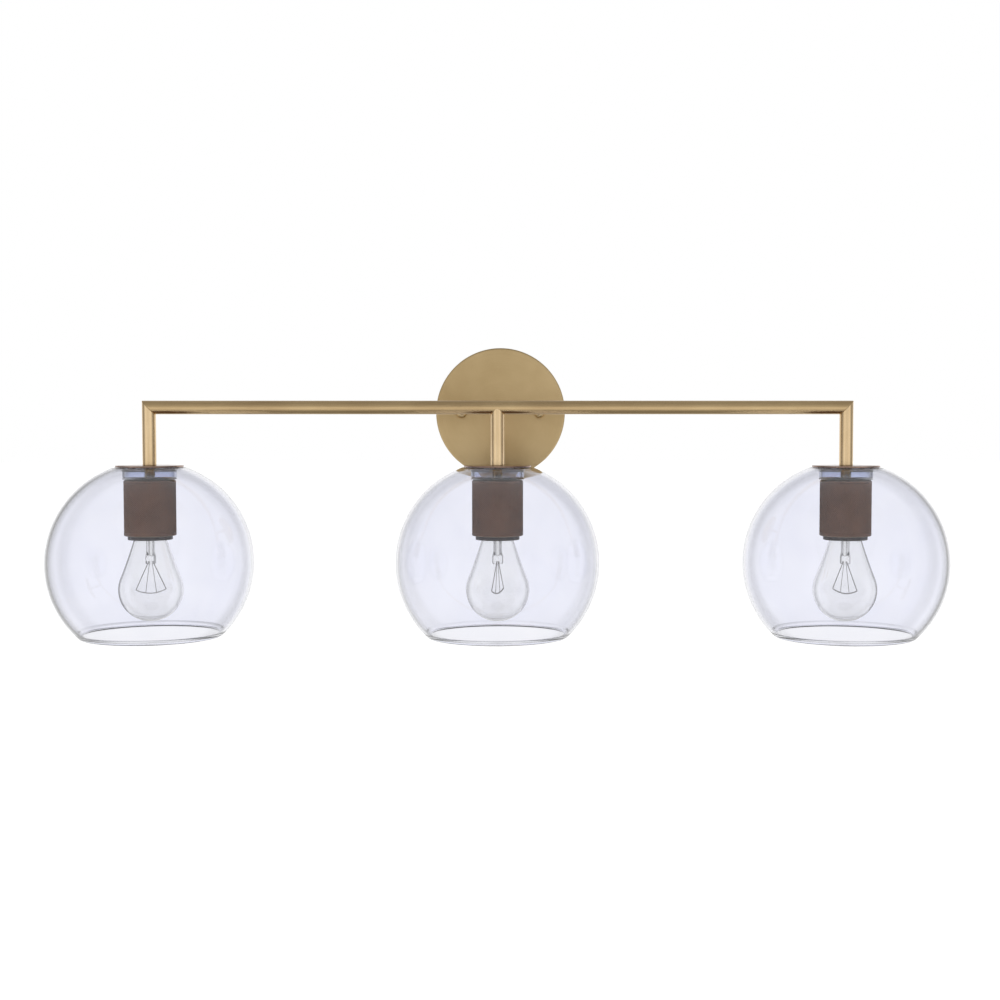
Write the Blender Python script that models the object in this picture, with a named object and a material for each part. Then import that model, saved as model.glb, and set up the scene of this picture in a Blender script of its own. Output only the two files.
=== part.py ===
"""A three-lamp bathroom light bar: a round plate on the wall, an arm, a level bar and three open glass
globes that hang below it, each clamped round its lampholder by a knurled sleeve.

Frame: metres, +Z up, the room towards -Y. The origin is on the wall, behind the centre of the plate.
Each lamp is built round its own axis, with height zero on the bar's centre line.
"""

import math

import bmesh
import bpy
from mathutils import Vector

# Clearance between pieces that touch in the real object
GAP = 0.0003
SHARP_ANGLE = math.radians(35)

# Plate on the wall
PLATE_DIAMETER = 0.129
PLATE_DEPTH = 0.020
PLATE_WALL = 0.0012
PLATE_CORNER = 0.0015

# Bracket behind the plate, a flat cross with a slot for each screw of the outlet box
BRACKET_THICKNESS = 0.0016
BRACKET_ARM_WIDTH = 0.022
BRACKET_CLEARANCE = 0.0075
BRACKET_WIRE_HOLE = 0.020
BOX_SCREW_PITCH = 0.0889
BOX_SLOT_WIDTH = 0.005
BOX_SLOT_TRAVEL = 0.007
STUD_PITCH = 0.078
STUD_DIAMETER = 0.0042
STUD_THREAD = 0.0065
NUT_DIAMETER = 0.011
NUT_SEAT_DIAMETER = 0.0084
GROUND_SCREW_OFFSET = 0.024
GROUND_SCREW_DIAMETER = 0.004
GROUND_SCREW_HEAD = 0.008

# Tubing of the arm, the bar and the three drops
TUBE_DIAMETER = 0.0127
TUBE_WALL = 0.001
BAR_REACH = 0.120
BAR_RISE = 0.004
LAMP_PITCH = 0.326
DROP = 0.0541
WIRE_HOLE_LIP = 0.0009

# Threaded nipples and their nuts
NIPPLE_CLEARANCE = 0.00035
NIPPLE_WALL = 0.001
NIPPLE_ENGAGEMENT = 0.012
NUT_RIM = 0.002
NUT_THICKNESS = 0.003
WASHER_RIM = 0.0045
WASHER_THICKNESS = 0.0012

# Cap disc over each globe
DISC_DIAMETER = 0.063
DISC_THICKNESS = 0.0015
DISC_EDGE = 0.0005

# Glass globe, open below, with a collar turned down into it at the top
GLOBE_DIAMETER = 0.191
GLASS_WALL = 0.0028
MOUTH_DIAMETER = 0.134
SHOULDER_RIM = 0.0015
COLLAR_DEPTH = 0.0101
PASSAGE_CLEARANCE = 0.0014

# Lampholder, its sleeve and the ring between sleeve and glass
SOCKET_SETBACK = 0.0012
SOCKET_CAP = 0.0035
SOCKET_CHAMBER = 0.024
CHAMBER_HEIGHT = 0.0098
SOCKET_WEB = 0.003
SOCKET_MOUTH = 0.0059
SOCKET_LIP = 0.0033
FLARE_CLEARANCE = 0.0039
FLARE_HEIGHT = 0.010
SLEEVE_WALL = 0.0031
SLEEVE_LENGTH = 0.0525
SLEEVE_CHAMFER = 0.0014
GASKET_THICKNESS = 0.0009

# Screw shell and bulb, to the 26 mm lamp-cap standard
SHELL_BORE = 0.0268
SHELL_WALL = 0.0005
SHELL_SETBACK = 0.0038
SHELL_FLANGE_BORE = 0.015
CONTACT_DEPTH = 0.0078
CONTACT_DIAMETER = 0.011
CONTACT_STEM = 0.0044
CAP_THREAD_DIAMETER = 0.0258
CAP_WALL = 0.0004
CAP_LENGTH = 0.025
NECK_IN_CAP = 0.010
INSULATOR_DIAMETER = 0.0186
INSULATOR_HEIGHT = 0.0048
BULB_DIAMETER = 0.060
BULB_LENGTH = 0.108
BULB_NECK_DIAMETER = 0.0268
BULB_GLASS_WALL = 0.0008
BULB_SHOULDER_ANGLE = math.radians(22)
STEM_DIAMETER = 0.008
STEM_LENGTH = 0.039
STEM_TAIL = 0.004
FILAMENT_SPAN = 0.028
FILAMENT_DEPTH = 0.024
FILAMENT_WIRE = 0.0008

# Twisted lead pairs inside the tubing
LEAD_SLACK = 0.0005
LEAD_BEND = 0.0035
LEAD_TAIL_DROP = 0.030

# Facets round each piece: plain turned pieces, small ones, wide ones, the globe and the plate
TURNED_STEPS = 16
SMALL_STEPS = 12
WIDE_STEPS = 24
PLATE_STEPS = 40

LAMPS = {"left": -1, "centre": 0, "right": 1}


def finish(name, colour, roughness, metallic, transmission=0.0):
    """A Principled material with one colour, roughness and metallic value."""
    made = bpy.data.materials.new(name)
    made.use_nodes = True
    shader = made.node_tree.nodes["Principled BSDF"]
    shader.inputs["Base Color"].default_value = (*colour, 1.0)
    shader.inputs["Roughness"].default_value = roughness
    shader.inputs["Metallic"].default_value = metallic
    shader.inputs["Transmission Weight"].default_value = transmission
    made.diffuse_color = (*colour, 1.0)
    return made


def closed_mesh(name, bm):
    """The bmesh as a mesh with outward faces, smooth except at its sharp edges."""
    bmesh.ops.recalc_face_normals(bm, faces=bm.faces)
    mesh = bpy.data.meshes.new(name)
    bm.to_mesh(mesh)
    bm.free()
    mesh.shade_smooth()
    mesh.set_sharp_from_angle(angle=SHARP_ANGLE)
    return mesh


def place(name, mesh, material, parent=None, location=(0, 0, 0), rotation=(0, 0, 0)):
    """A named object with its material, put in the scene."""
    piece = bpy.data.objects.new(name, mesh)
    if material.name not in mesh.materials:
        mesh.materials.append(material)
    piece.location = location
    piece.rotation_euler = rotation
    piece.parent = parent
    bpy.context.collection.objects.link(piece)
    return piece


def turned(name, outline, steps=TURNED_STEPS):
    """The (radius, height) outline spun round Z. An outline that starts and ends on the axis stays open
    there, and any other is closed into a ring."""
    bm = bmesh.new()
    points = [bm.verts.new((radius, 0, height)) for radius, height in outline]
    for first, second in zip(points, points[1:]):
        bm.edges.new((first, second))
    if outline[0][0] > 0:
        bm.edges.new((points[-1], points[0]))
    bmesh.ops.spin(bm, geom=bm.verts[:] + bm.edges[:], cent=(0, 0, 0), axis=(0, 0, 1),
                   angle=math.tau, steps=steps, use_merge=True)
    bmesh.ops.remove_doubles(bm, verts=bm.verts, dist=1e-6)
    return closed_mesh(name, bm)


def arc(centre, radius, start, end, steps):
    """Points along a round stretch of an outline, with angles measured from the radius axis."""
    angles = [start + (end - start) * step / steps for step in range(steps + 1)]
    return [(centre[0] + radius * math.cos(a), centre[1] + radius * math.sin(a)) for a in angles]


def pipe(name, outer, bore, low_end, high_end, steps=TURNED_STEPS):
    """A pipe along Z. The outer radius is a function of the angle, and each end's height one of (x, y)."""
    bm = bmesh.new()
    angles = [math.tau * step / steps for step in range(steps)]

    def ring(radius_at, end):
        spots = [(radius_at(a) * math.cos(a), radius_at(a) * math.sin(a)) for a in angles]
        return [bm.verts.new((x, y, end(x, y))) for x, y in spots]

    rings = [ring(outer, low_end), ring(outer, high_end),
             ring(lambda a: bore, high_end), ring(lambda a: bore, low_end)]
    for first, second in zip(rings, rings[1:] + rings[:1]):
        for step in range(steps):
            after = (step + 1) % steps
            bm.faces.new((first[step], first[after], second[after], second[step]))
    return closed_mesh(name, bm)


def level(height):
    """A flat pipe end."""
    return lambda x, y: height


def round_section(diameter):
    """The outer radius of a round pipe."""
    return lambda angle: diameter / 2


def hexagon_section(flats):
    """The outer radius of a hexagonal bar, with a corner at angle zero."""
    sixth = math.tau / 6
    return lambda angle: flats / 2 / math.cos((angle % sixth) - sixth / 2)


def drill(piece, name, diameter, start, end, parent=None):
    """Cuts a round hole through the piece, from start to end, in the parent's frame."""
    start, end = Vector(start), Vector(end)
    bm = bmesh.new()
    bmesh.ops.create_cone(bm, cap_ends=True, segments=SMALL_STEPS, radius1=diameter / 2,
                          radius2=diameter / 2, depth=(end - start).length)
    cutter = place(name, closed_mesh(name, bm), WORKING, parent, (start + end) / 2,
                   (end - start).to_track_quat("Z", "Y").to_euler())
    cut_with(piece, cutter)


def cut_with(piece, cutter):
    """Subtracts the cutter from the piece and keeps it out of sight."""
    cutter.hide_render = True
    cutter.display_type = "WIRE"
    cut = piece.modifiers.new(cutter.name, "BOOLEAN")
    cut.operation = "DIFFERENCE"
    cut.object = cutter


def block_mesh(name, outline, low, high):
    """A closed outline in X and Y, extruded along Z."""
    bm = bmesh.new()
    face = bm.faces.new([bm.verts.new((x, y, low)) for x, y in outline])
    grown = bmesh.ops.extrude_face_region(bm, geom=[face])
    moved = [item for item in grown["geom"] if isinstance(item, bmesh.types.BMVert)]
    bmesh.ops.translate(bm, verts=moved, vec=(0, 0, high - low))
    return closed_mesh(name, bm)


def rounded_route(corners, bend):
    """The corners joined by straight runs, with each inner corner rounded by a curve that starts and
    ends its bend length away."""
    corners = [Vector(corner) for corner in corners]
    route = [corners[0]]
    for before, corner, after in zip(corners, corners[1:], corners[2:]):
        entry = corner + (before - corner).normalized() * bend
        leave = corner + (after - corner).normalized() * bend
        for step in range(4):
            t = step / 3
            route.append(entry * (1 - t) ** 2 + corner * 2 * t * (1 - t) + leave * t ** 2)
    route.append(corners[-1])
    return route


def rod_along(name, route, diameter, material, parent=None):
    """A round rod or lead along the route."""
    curve = bpy.data.curves.new(name, "CURVE")
    curve.dimensions = "3D"
    curve.bevel_depth = diameter / 2
    curve.bevel_resolution = 2
    curve.use_fill_caps = True
    run = curve.splines.new("POLY")
    run.points.add(len(route) - 1)
    for point, spot in zip(run.points, route):
        point.co = (*spot, 1.0)
    run.use_smooth = True
    return place(name, curve, material, parent)


def empty(name, location=(0, 0, 0), rotation=(0, 0, 0)):
    """A frame to build in."""
    made = bpy.data.objects.new(name, None)
    made.location = location
    made.rotation_euler = rotation
    bpy.context.collection.objects.link(made)
    return made


for leftover in list(bpy.data.objects):
    bpy.data.objects.remove(leftover, do_unlink=True)

WORKING = finish("working_outline", (0.5, 0.5, 0.5), 0.5, 0.0)
BRUSHED_BRASS = finish("antique_brushed_brass", (0.42, 0.31, 0.16), 0.38, 1.0)
TAN_BRASS = finish("satin_tan_brass", (0.62, 0.45, 0.27), 0.30, 1.0)
BRONZE = finish("dark_bronze", (0.115, 0.083, 0.066), 0.42, 1.0)
DISC_BRONZE = finish("polished_bronze", (0.30, 0.20, 0.16), 0.16, 1.0)
YELLOW_BRASS = finish("yellow_brass", (0.70, 0.52, 0.22), 0.30, 1.0)
ZINC_STEEL = finish("zinc_plated_steel", (0.60, 0.61, 0.62), 0.38, 1.0)
GREEN_ENAMEL = finish("green_screw_coat", (0.03, 0.25, 0.07), 0.45, 0.0)
PHENOLIC = finish("black_phenolic", (0.018, 0.016, 0.016), 0.40, 0.0)
RUBBER = finish("dark_silicone", (0.04, 0.04, 0.045), 0.75, 0.0)
GLOBE_GLASS = finish("clear_globe_glass", (0.93, 0.94, 0.99), 0.02, 0.0, 1.0)
BULB_GLASS = finish("clear_bulb_glass", (0.97, 0.97, 0.98), 0.01, 0.0, 1.0)
NICKEL = finish("bulb_cap_nickel", (0.72, 0.70, 0.66), 0.28, 1.0)
VITRITE = finish("black_vitrite", (0.02, 0.02, 0.03), 0.15, 0.0)
TUNGSTEN = finish("tungsten_wire", (0.30, 0.29, 0.28), 0.40, 1.0)
LEAD_SHEATH = finish("lead_insulation", (0.78, 0.77, 0.74), 0.50, 0.0)

# Sizes that follow from those above
tube_radius = TUBE_DIAMETER / 2
tube_bore = tube_radius - TUBE_WALL
mitre_back = math.sqrt(2) * GAP / 2
wire_hole = 2 * (tube_bore - WIRE_HOLE_LIP)
nipple_diameter = 2 * (tube_bore - NIPPLE_CLEARANCE)
nipple_bore = nipple_diameter / 2 - NIPPLE_WALL
nipple_hole = nipple_diameter / 2 + GAP
nut_flats = nipple_diameter + 2 * NUT_RIM
lead_radius = (nipple_bore - LEAD_SLACK * (1 + 1 / math.sqrt(3))) / (1 + 2 / math.sqrt(3))
plate_inside = PLATE_DIAMETER / 2 - PLATE_WALL
flare_radius = BULB_NECK_DIAMETER / 2 + FLARE_CLEARANCE
socket_radius = flare_radius + SOCKET_LIP
passage = socket_radius + PASSAGE_CLEARANCE
sleeve_bore = socket_radius + GAP
shell_radius = SHELL_BORE / 2 + SHELL_WALL
cap_inside = CAP_THREAD_DIAMETER / 2 - CAP_WALL

# Heights on a lamp's axis, from the bar's centre line
disc_underside = -DROP - DISC_THICKNESS
globe_top = disc_underside - GAP
globe_radius = GLOBE_DIAMETER / 2
globe_centre = globe_top - math.sqrt(globe_radius ** 2 - (DISC_DIAMETER / 2 + SHOULDER_RIM) ** 2)
collar_end = globe_top - COLLAR_DEPTH
gasket_top = collar_end - GAP
sleeve_top = gasket_top - GASKET_THICKNESS - GAP
socket_top = sleeve_top - SOCKET_SETBACK
chamber_top = socket_top - SOCKET_CAP
web_top = chamber_top - CHAMBER_HEIGHT
web_underside = web_top - SOCKET_WEB
bulb_tip = web_underside - CONTACT_DEPTH
cap_end = bulb_tip - CAP_LENGTH
neck_top = cap_end + NECK_IN_CAP
stem_end = neck_top - STEM_LENGTH


def saddle(axis_height, lean):
    """A pipe end that fits under the bar, which crosses the pipe's axis at that height. The arm and the
    centre drop, which lean to each other's side, are mitred together behind and below the bar."""
    fit = tube_radius + GAP
    return lambda x, y: axis_height - max(math.sqrt(fit ** 2 - y ** 2), lean * y + mitre_back)


def wall_bracket(wall):
    """Pressed steel cross that carries the fitting on the outlet box."""
    half_width = BRACKET_ARM_WIDTH / 2
    reach = plate_inside - BRACKET_CLEARANCE
    quarter = [(reach, half_width), (half_width, half_width), (half_width, reach)]
    outline = quarter + [(-x, y) for x, y in reversed(quarter)]
    outline += [(-x, -y) for x, y in quarter] + [(x, -y) for x, y in reversed(quarter)]
    bracket = place("wall_bracket", block_mesh("wall_bracket", outline, 0, BRACKET_THICKNESS),
                    ZINC_STEEL, wall)
    through = (-BRACKET_THICKNESS, 2 * BRACKET_THICKNESS)
    holes = {"wire_passage": (0, BRACKET_WIRE_HOLE),
             "stud_hole_left": (-STUD_PITCH / 2, STUD_DIAMETER + 2 * GAP),
             "stud_hole_right": (STUD_PITCH / 2, STUD_DIAMETER + 2 * GAP),
             "ground_screw_hole": (-GROUND_SCREW_OFFSET, GROUND_SCREW_DIAMETER + 2 * GAP)}
    for name, (x, diameter) in holes.items():
        drill(bracket, name, diameter, (x, 0, through[0]), (x, 0, through[1]), wall)
    for name, side in {"box_slot_upper": 1, "box_slot_lower": -1}.items():
        half = (BOX_SLOT_WIDTH / 2, BOX_SLOT_TRAVEL / 2)
        ends = arc((0, half[1]), half[0], 0, math.pi, 6)
        ends += arc((0, -half[1]), half[0], math.pi, math.tau, 6)
        slot = place(name, block_mesh(name, ends, *through), WORKING, wall,
                     (0, side * BOX_SCREW_PITCH / 2, 0))
        cut_with(bracket, slot)


def backplate(wall):
    """Spun round cover over the bracket, flat in front, open to the wall."""
    radius = PLATE_DIAMETER / 2
    inner_corner = max(PLATE_CORNER - PLATE_WALL, GAP)
    face = PLATE_DEPTH - PLATE_WALL
    outline = [(0, PLATE_DEPTH)]
    outline += arc((radius - PLATE_CORNER, PLATE_DEPTH - PLATE_CORNER), PLATE_CORNER, math.pi / 2, 0, 3)
    outline += [(radius, 0), (plate_inside, 0), (plate_inside, face - inner_corner)]
    outline += [(plate_inside - inner_corner, face), (0, face)]
    plate = place("backplate", turned("backplate", outline, PLATE_STEPS), BRUSHED_BRASS, wall)
    holes = {"arm_hole": (0, BAR_RISE, 2 * nipple_hole),
             "plate_hole_left": (-STUD_PITCH / 2, 0, STUD_DIAMETER + 2 * GAP),
             "plate_hole_right": (STUD_PITCH / 2, 0, STUD_DIAMETER + 2 * GAP)}
    for name, (x, y, diameter) in holes.items():
        drill(plate, name, diameter, (x, y, face - PLATE_WALL), (x, y, PLATE_DEPTH + PLATE_WALL), wall)


def plate_fixings(wall):
    """Two studs in the bracket, the ball nuts that hold the plate on them, and the ground screw."""
    stud_radius = STUD_DIAMETER / 2
    tip = PLATE_DEPTH + STUD_THREAD
    stud = turned("stud", [(0, tip), (stud_radius * 0.7, tip), (stud_radius, tip - stud_radius * 0.3),
                           (stud_radius, GAP), (0, GAP)], SMALL_STEPS)
    seat = PLATE_DEPTH + GAP
    ball = NUT_DIAMETER / 2
    rise = math.sqrt(ball ** 2 - (NUT_SEAT_DIAMETER / 2) ** 2)
    bore = stud_radius + GAP
    start = math.asin(rise / ball)
    outline = [(radius, height) for radius, height in
               arc((0, seat + rise), ball, math.pi / 2, -start, 6)]
    outline[0] = (0, seat + rise + ball)
    outline += [(bore, seat), (bore, tip + GAP), (0, tip + GAP)]
    ball_nut = turned("ball_nut", outline)
    for side, x in {"left": -STUD_PITCH / 2, "right": STUD_PITCH / 2}.items():
        place("canopy_stud_" + side, stud, ZINC_STEEL, wall, (x, 0, 0))
        place("cap_nut_" + side, ball_nut, BRUSHED_BRASS, wall, (x, 0, 0))
    shank = GROUND_SCREW_DIAMETER / 2
    head = GROUND_SCREW_HEAD / 2
    front = BRACKET_THICKNESS + GAP
    outline = [(0, front + shank), (head * 0.8, front + shank), (head, front + shank * 0.6),
               (head, front), (shank, front), (shank, GAP), (0, GAP)]
    place("ground_screw", turned("ground_screw", outline, SMALL_STEPS), GREEN_ENAMEL, wall,
          (-GROUND_SCREW_OFFSET, 0, 0))


def arm_group(arm_frame):
    """The arm from plate to bar, and the nipple, washer and nut that pull it against the plate."""
    seat = PLATE_DEPTH + GAP
    place("arm", pipe("arm", round_section(TUBE_DIAMETER), tube_bore, level(seat),
                      saddle(BAR_REACH, -1)), TAN_BRASS, arm_frame)
    inner_face = PLATE_DEPTH - PLATE_WALL - GAP
    washer_back = inner_face - WASHER_THICKNESS
    nut_front = washer_back - GAP
    nut_back = nut_front - NUT_THICKNESS
    place("arm_washer", pipe("arm_washer", round_section(2 * (nipple_hole + WASHER_RIM)), nipple_hole,
                             level(washer_back), level(inner_face)), ZINC_STEEL, arm_frame)
    place("arm_locknut", pipe("arm_locknut", hexagon_section(nut_flats), nipple_hole,
                              level(nut_back), level(nut_front),
                              SMALL_STEPS), YELLOW_BRASS, arm_frame)
    place("arm_nipple", pipe("arm_nipple", round_section(nipple_diameter), nipple_bore,
                             level(nut_back - 2 * GAP), level(seat + NIPPLE_ENGAGEMENT), SMALL_STEPS),
          YELLOW_BRASS, arm_frame)


def crossbar(bar_frame):
    """The level bar along X, mitred at both ends, with a wire hole behind and one below."""
    def mitre(side):
        # The bar lies along the frame's Z, and the frame's X points down.
        return lambda x, y: side * (LAMP_PITCH - x - mitre_back)

    bar = place("crossbar", pipe("crossbar", round_section(TUBE_DIAMETER), tube_bore,
                                 mitre(-1), mitre(1)), BRUSHED_BRASS, bar_frame)
    drill(bar, "bar_hole_below", wire_hole, (0, 0, 0), (TUBE_DIAMETER, 0, 0), bar_frame)
    drill(bar, "bar_hole_behind", wire_hole, (0, 0, 0), (0, TUBE_DIAMETER, 0), bar_frame)


def drop_tube(side, lamp):
    """The tube down to the cap disc: mitred to the bar's end, or fitted round the middle of the bar."""
    direction = LAMPS[side]
    top = saddle(0, 1) if direction == 0 else (lambda x, y: direction * x - mitre_back)
    place("drop_tube_" + side, pipe("drop_tube_" + side, round_section(TUBE_DIAMETER), tube_bore,
                                    level(-DROP + GAP), top), TAN_BRASS, lamp)


def cap_disc_mesh():
    """Thin disc that closes the top of the globe, with eased edges."""
    radius = DISC_DIAMETER / 2
    low = disc_underside
    return turned("cap_disc", [
        (nipple_hole, -DROP), (radius - DISC_EDGE, -DROP), (radius, -DROP - DISC_EDGE),
        (radius, low + DISC_EDGE), (radius - DISC_EDGE, low), (nipple_hole, low)], WIDE_STEPS)


def nipple_mesh():
    """Hollow threaded nipple from the drop tube into the top of the lampholder."""
    return pipe("nipple", round_section(nipple_diameter), nipple_bore, level(chamber_top),
                level(-DROP + NIPPLE_ENGAGEMENT), SMALL_STEPS)


def nipple_nut_mesh():
    """Thin hexagon nut that pulls the cap disc against the drop tube."""
    high = disc_underside - GAP
    return pipe("nipple_nut", hexagon_section(nut_flats), nipple_hole,
                level(high - NUT_THICKNESS), level(high), SMALL_STEPS)


def glass_shade_mesh():
    """Blown globe, cut open below, with a flat shoulder under the disc and a collar turned down inside."""
    centre = (0, globe_centre)
    inner = globe_radius - GLASS_WALL
    under = globe_top - GLASS_WALL
    rim = globe_centre - math.sqrt(globe_radius ** 2 - MOUTH_DIAMETER ** 2 / 4)
    start = math.asin((globe_top - globe_centre) / globe_radius)
    end = math.asin((rim - globe_centre) / globe_radius)
    inner_start = math.asin((under - globe_centre) / inner)
    inner_end = math.asin((rim - globe_centre) / inner)
    rim_middle = (MOUTH_DIAMETER / 2 + inner * math.cos(inner_end)) / 2
    outline = [(passage, globe_top)]
    outline += arc(centre, globe_radius, start, 0, 4) + arc(centre, globe_radius, 0, end, 3)[1:]
    outline += [(rim_middle, rim - GLASS_WALL / 2)]
    outline += arc(centre, inner, inner_end, 0, 3) + arc(centre, inner, 0, inner_start, 4)[1:]
    outline += [(passage + GLASS_WALL, under), (passage + GLASS_WALL, collar_end), (passage, collar_end)]
    return turned("glass_shade", outline, WIDE_STEPS)


def shade_gasket_mesh():
    """Soft ring between the globe's collar and the sleeve."""
    return pipe("shade_gasket", round_section(2 * (passage + GLASS_WALL)), sleeve_bore,
                level(gasket_top - GASKET_THICKNESS), level(gasket_top))


def knurled_sleeve_mesh():
    """Thick-walled sleeve, chamfered at its ends, threaded inside on the lampholder."""
    radius = sleeve_bore + SLEEVE_WALL
    low = sleeve_top - SLEEVE_LENGTH
    cut = SLEEVE_CHAMFER
    return turned("knurled_sleeve", [
        (sleeve_bore, sleeve_top), (radius - cut, sleeve_top), (radius, sleeve_top - cut),
        (radius, low + cut / 2), (radius - cut / 2, low), (sleeve_bore, low)], WIDE_STEPS)


def socket_body_mesh():
    """Moulded lampholder body: threaded outside, a chamber for the terminals over a web, and the
    deep bore for the screw shell, flared at its mouth for the bulb's neck."""
    low = cap_end - SOCKET_MOUTH
    bore = shell_radius + GAP
    stem_hole = CONTACT_STEM / 2 + GAP
    chamber = SOCKET_CHAMBER / 2
    return turned("socket_body", [
        (nipple_hole, socket_top), (socket_radius, socket_top), (socket_radius, low),
        (flare_radius, low), (bore, low + FLARE_HEIGHT), (bore, web_underside),
        (stem_hole, web_underside), (stem_hole, web_top), (chamber, web_top),
        (chamber, chamber_top), (nipple_hole, chamber_top)])


def screw_shell_mesh():
    """Drawn brass shell with an inward flange at its closed end."""
    top = web_underside - GAP
    bore = SHELL_BORE / 2
    low = cap_end + SHELL_SETBACK
    under = top - SHELL_WALL
    flange = SHELL_FLANGE_BORE / 2
    return turned("screw_shell", [
        (flange, top), (shell_radius, top), (shell_radius, low), (bore, low), (bore, under), (flange, under)])


def centre_contact_mesh():
    """Riveted centre contact that reaches down to the bulb's tip."""
    stem = CONTACT_STEM / 2
    head = stem * 1.6
    head_top = web_top + stem * 0.8
    under = web_underside - GAP
    dish = CONTACT_DIAMETER / 2
    return turned("centre_contact", [
        (0, head_top), (head, head_top), (head, web_top + GAP), (stem, web_top + GAP), (stem, under),
        (dish, under), (dish, under - SHELL_WALL), (stem, bulb_tip + GAP), (0, bulb_tip + GAP)], SMALL_STEPS)


def bulb_insulator_mesh():
    """Black glass button with the bulb's contact at its tip."""
    radius = INSULATOR_DIAMETER / 2
    low = bulb_tip - INSULATOR_HEIGHT
    return turned("bulb_insulator", [
        (0, bulb_tip), (radius * 0.3, bulb_tip - 0.0004), (radius * 0.42, bulb_tip - 0.0012),
        (radius, low + 0.001), (radius, low), (0, low)], SMALL_STEPS)


def bulb_cap_mesh():
    """Thin metal screw cap, drawn in at the top round the insulator, with a wider skirt at the glass."""
    radius = CAP_THREAD_DIAMETER / 2
    mouth = INSULATOR_DIAMETER / 2 + GAP
    top = bulb_tip - INSULATOR_HEIGHT + 0.0008
    shoulder = top - (radius - mouth)
    return turned("bulb_cap", [
        (mouth + CAP_WALL, top), (radius, shoulder), (radius, cap_end), (cap_inside, cap_end),
        (cap_inside, shoulder - CAP_WALL), (mouth, top - CAP_WALL), (mouth, top)])


def bulb_glass_mesh():
    """Pear-shaped envelope: a round bulb joined to its neck by one smooth cubic curve, open inside the
    cap where the stem closes it."""
    neck = BULB_NECK_DIAMETER / 2
    in_cap = cap_inside - GAP
    ball = BULB_DIAMETER / 2
    centre = bulb_tip - BULB_LENGTH + ball

    def side(inset):
        radius = ball - inset
        join_radius = radius * math.cos(BULB_SHOULDER_ANGLE)
        join_height = centre + radius * math.sin(BULB_SHOULDER_ANGLE)
        neck_height = cap_end - GAP
        span = neck_height - join_height
        slopes = (0.30 * span, math.tan(BULB_SHOULDER_ANGLE) * span)
        curve = []
        for step in range(3):
            t = step / 3
            curve.append((
                (2 * t ** 3 - 3 * t ** 2 + 1) * (neck - inset) + (t ** 3 - 2 * t ** 2 + t) * slopes[0]
                + (3 * t ** 2 - 2 * t ** 3) * join_radius + (t ** 3 - t ** 2) * slopes[1],
                neck_height - span * t))
        return curve + arc((0, centre), radius, BULB_SHOULDER_ANGLE, -math.pi / 2, 5)[:-1] \
            + [(0, centre - radius)]

    outside = [(in_cap, neck_top), (in_cap, cap_end)] + side(0)
    inset = BULB_GLASS_WALL
    inside = [(in_cap - inset, neck_top), (in_cap - inset, cap_end)] + side(inset)
    outline = list(reversed(outside)) + inside
    return turned("bulb_glass", outline)


def bulb_stem_mesh():
    """Glass stem: a flare inside the neck, a tube, and the flattened press that holds the wires."""
    stem = STEM_DIAMETER / 2
    flare = cap_inside - 2 * GAP - BULB_GLASS_WALL
    flare_top = neck_top - BULB_GLASS_WALL
    tail_top = neck_top + STEM_TAIL
    return turned("bulb_stem", [
        (0, tail_top), (stem * 0.5, tail_top), (stem * 0.6, neck_top), (flare, flare_top),
        (flare, flare_top - 2 * BULB_GLASS_WALL), (stem * 1.3, neck_top - flare / 2),
        (stem, neck_top - flare), (stem, stem_end + 2 * stem), (stem * 0.7, stem_end), (0, stem_end)],
        SMALL_STEPS)


def filament_route():
    """From the stem down to one end of the filament, along its shallow arc, and back up."""
    top = stem_end - GAP - FILAMENT_WIRE / 2
    half = FILAMENT_SPAN / 2
    left = [(-FILAMENT_WIRE, 0, top), (-half, 0, top - FILAMENT_DEPTH)]
    middle = [(half * share, 0, top - FILAMENT_DEPTH - half * 0.25 * (1 - share ** 2))
              for share in (-0.4, 0.4)]
    return left + middle + [(-x, y, z) for x, y, z in reversed(left)]


def lead_routes():
    """A lead pair for each lamp, from the back of the plate through the tubing to the terminals. In the
    arm the three form a triangle, the centre lamp's pair lowest, and it turns down first behind the plate."""
    spacing = 2 * lead_radius + LEAD_SLACK
    nipple_end = PLATE_DEPTH - PLATE_WALL - WASHER_THICKNESS - NUT_THICKNESS
    first_turn = nipple_end - lead_radius - LEAD_BEND
    end = BAR_RISE + chamber_top - 2 * lead_radius
    for side, direction in LAMPS.items():
        x = direction * spacing / 2
        if direction == 0:
            height = BAR_RISE - spacing / math.sqrt(3)
            tail = first_turn
        else:
            height = BAR_RISE + spacing / math.sqrt(12)
            tail = first_turn - spacing
        lamp_x = direction * LAMP_PITCH
        route = [(x, -tail, height - LEAD_TAIL_DROP), (x, -tail, height), (x, -BAR_REACH, height)]
        if direction:
            route.append((lamp_x, -BAR_REACH, height))
        route.append((lamp_x, -BAR_REACH, end))
        yield side, route


wall_frame = empty("wall_frame", rotation=(math.pi / 2, 0, 0))
arm_frame = empty("arm_frame", (0, 0, BAR_RISE), (math.pi / 2, 0, 0))
bar_frame = empty("bar_frame", (0, -BAR_REACH, BAR_RISE), (0, math.pi / 2, 0))
wall_bracket(wall_frame)
backplate(wall_frame)
plate_fixings(wall_frame)
arm_group(arm_frame)
crossbar(bar_frame)

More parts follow.
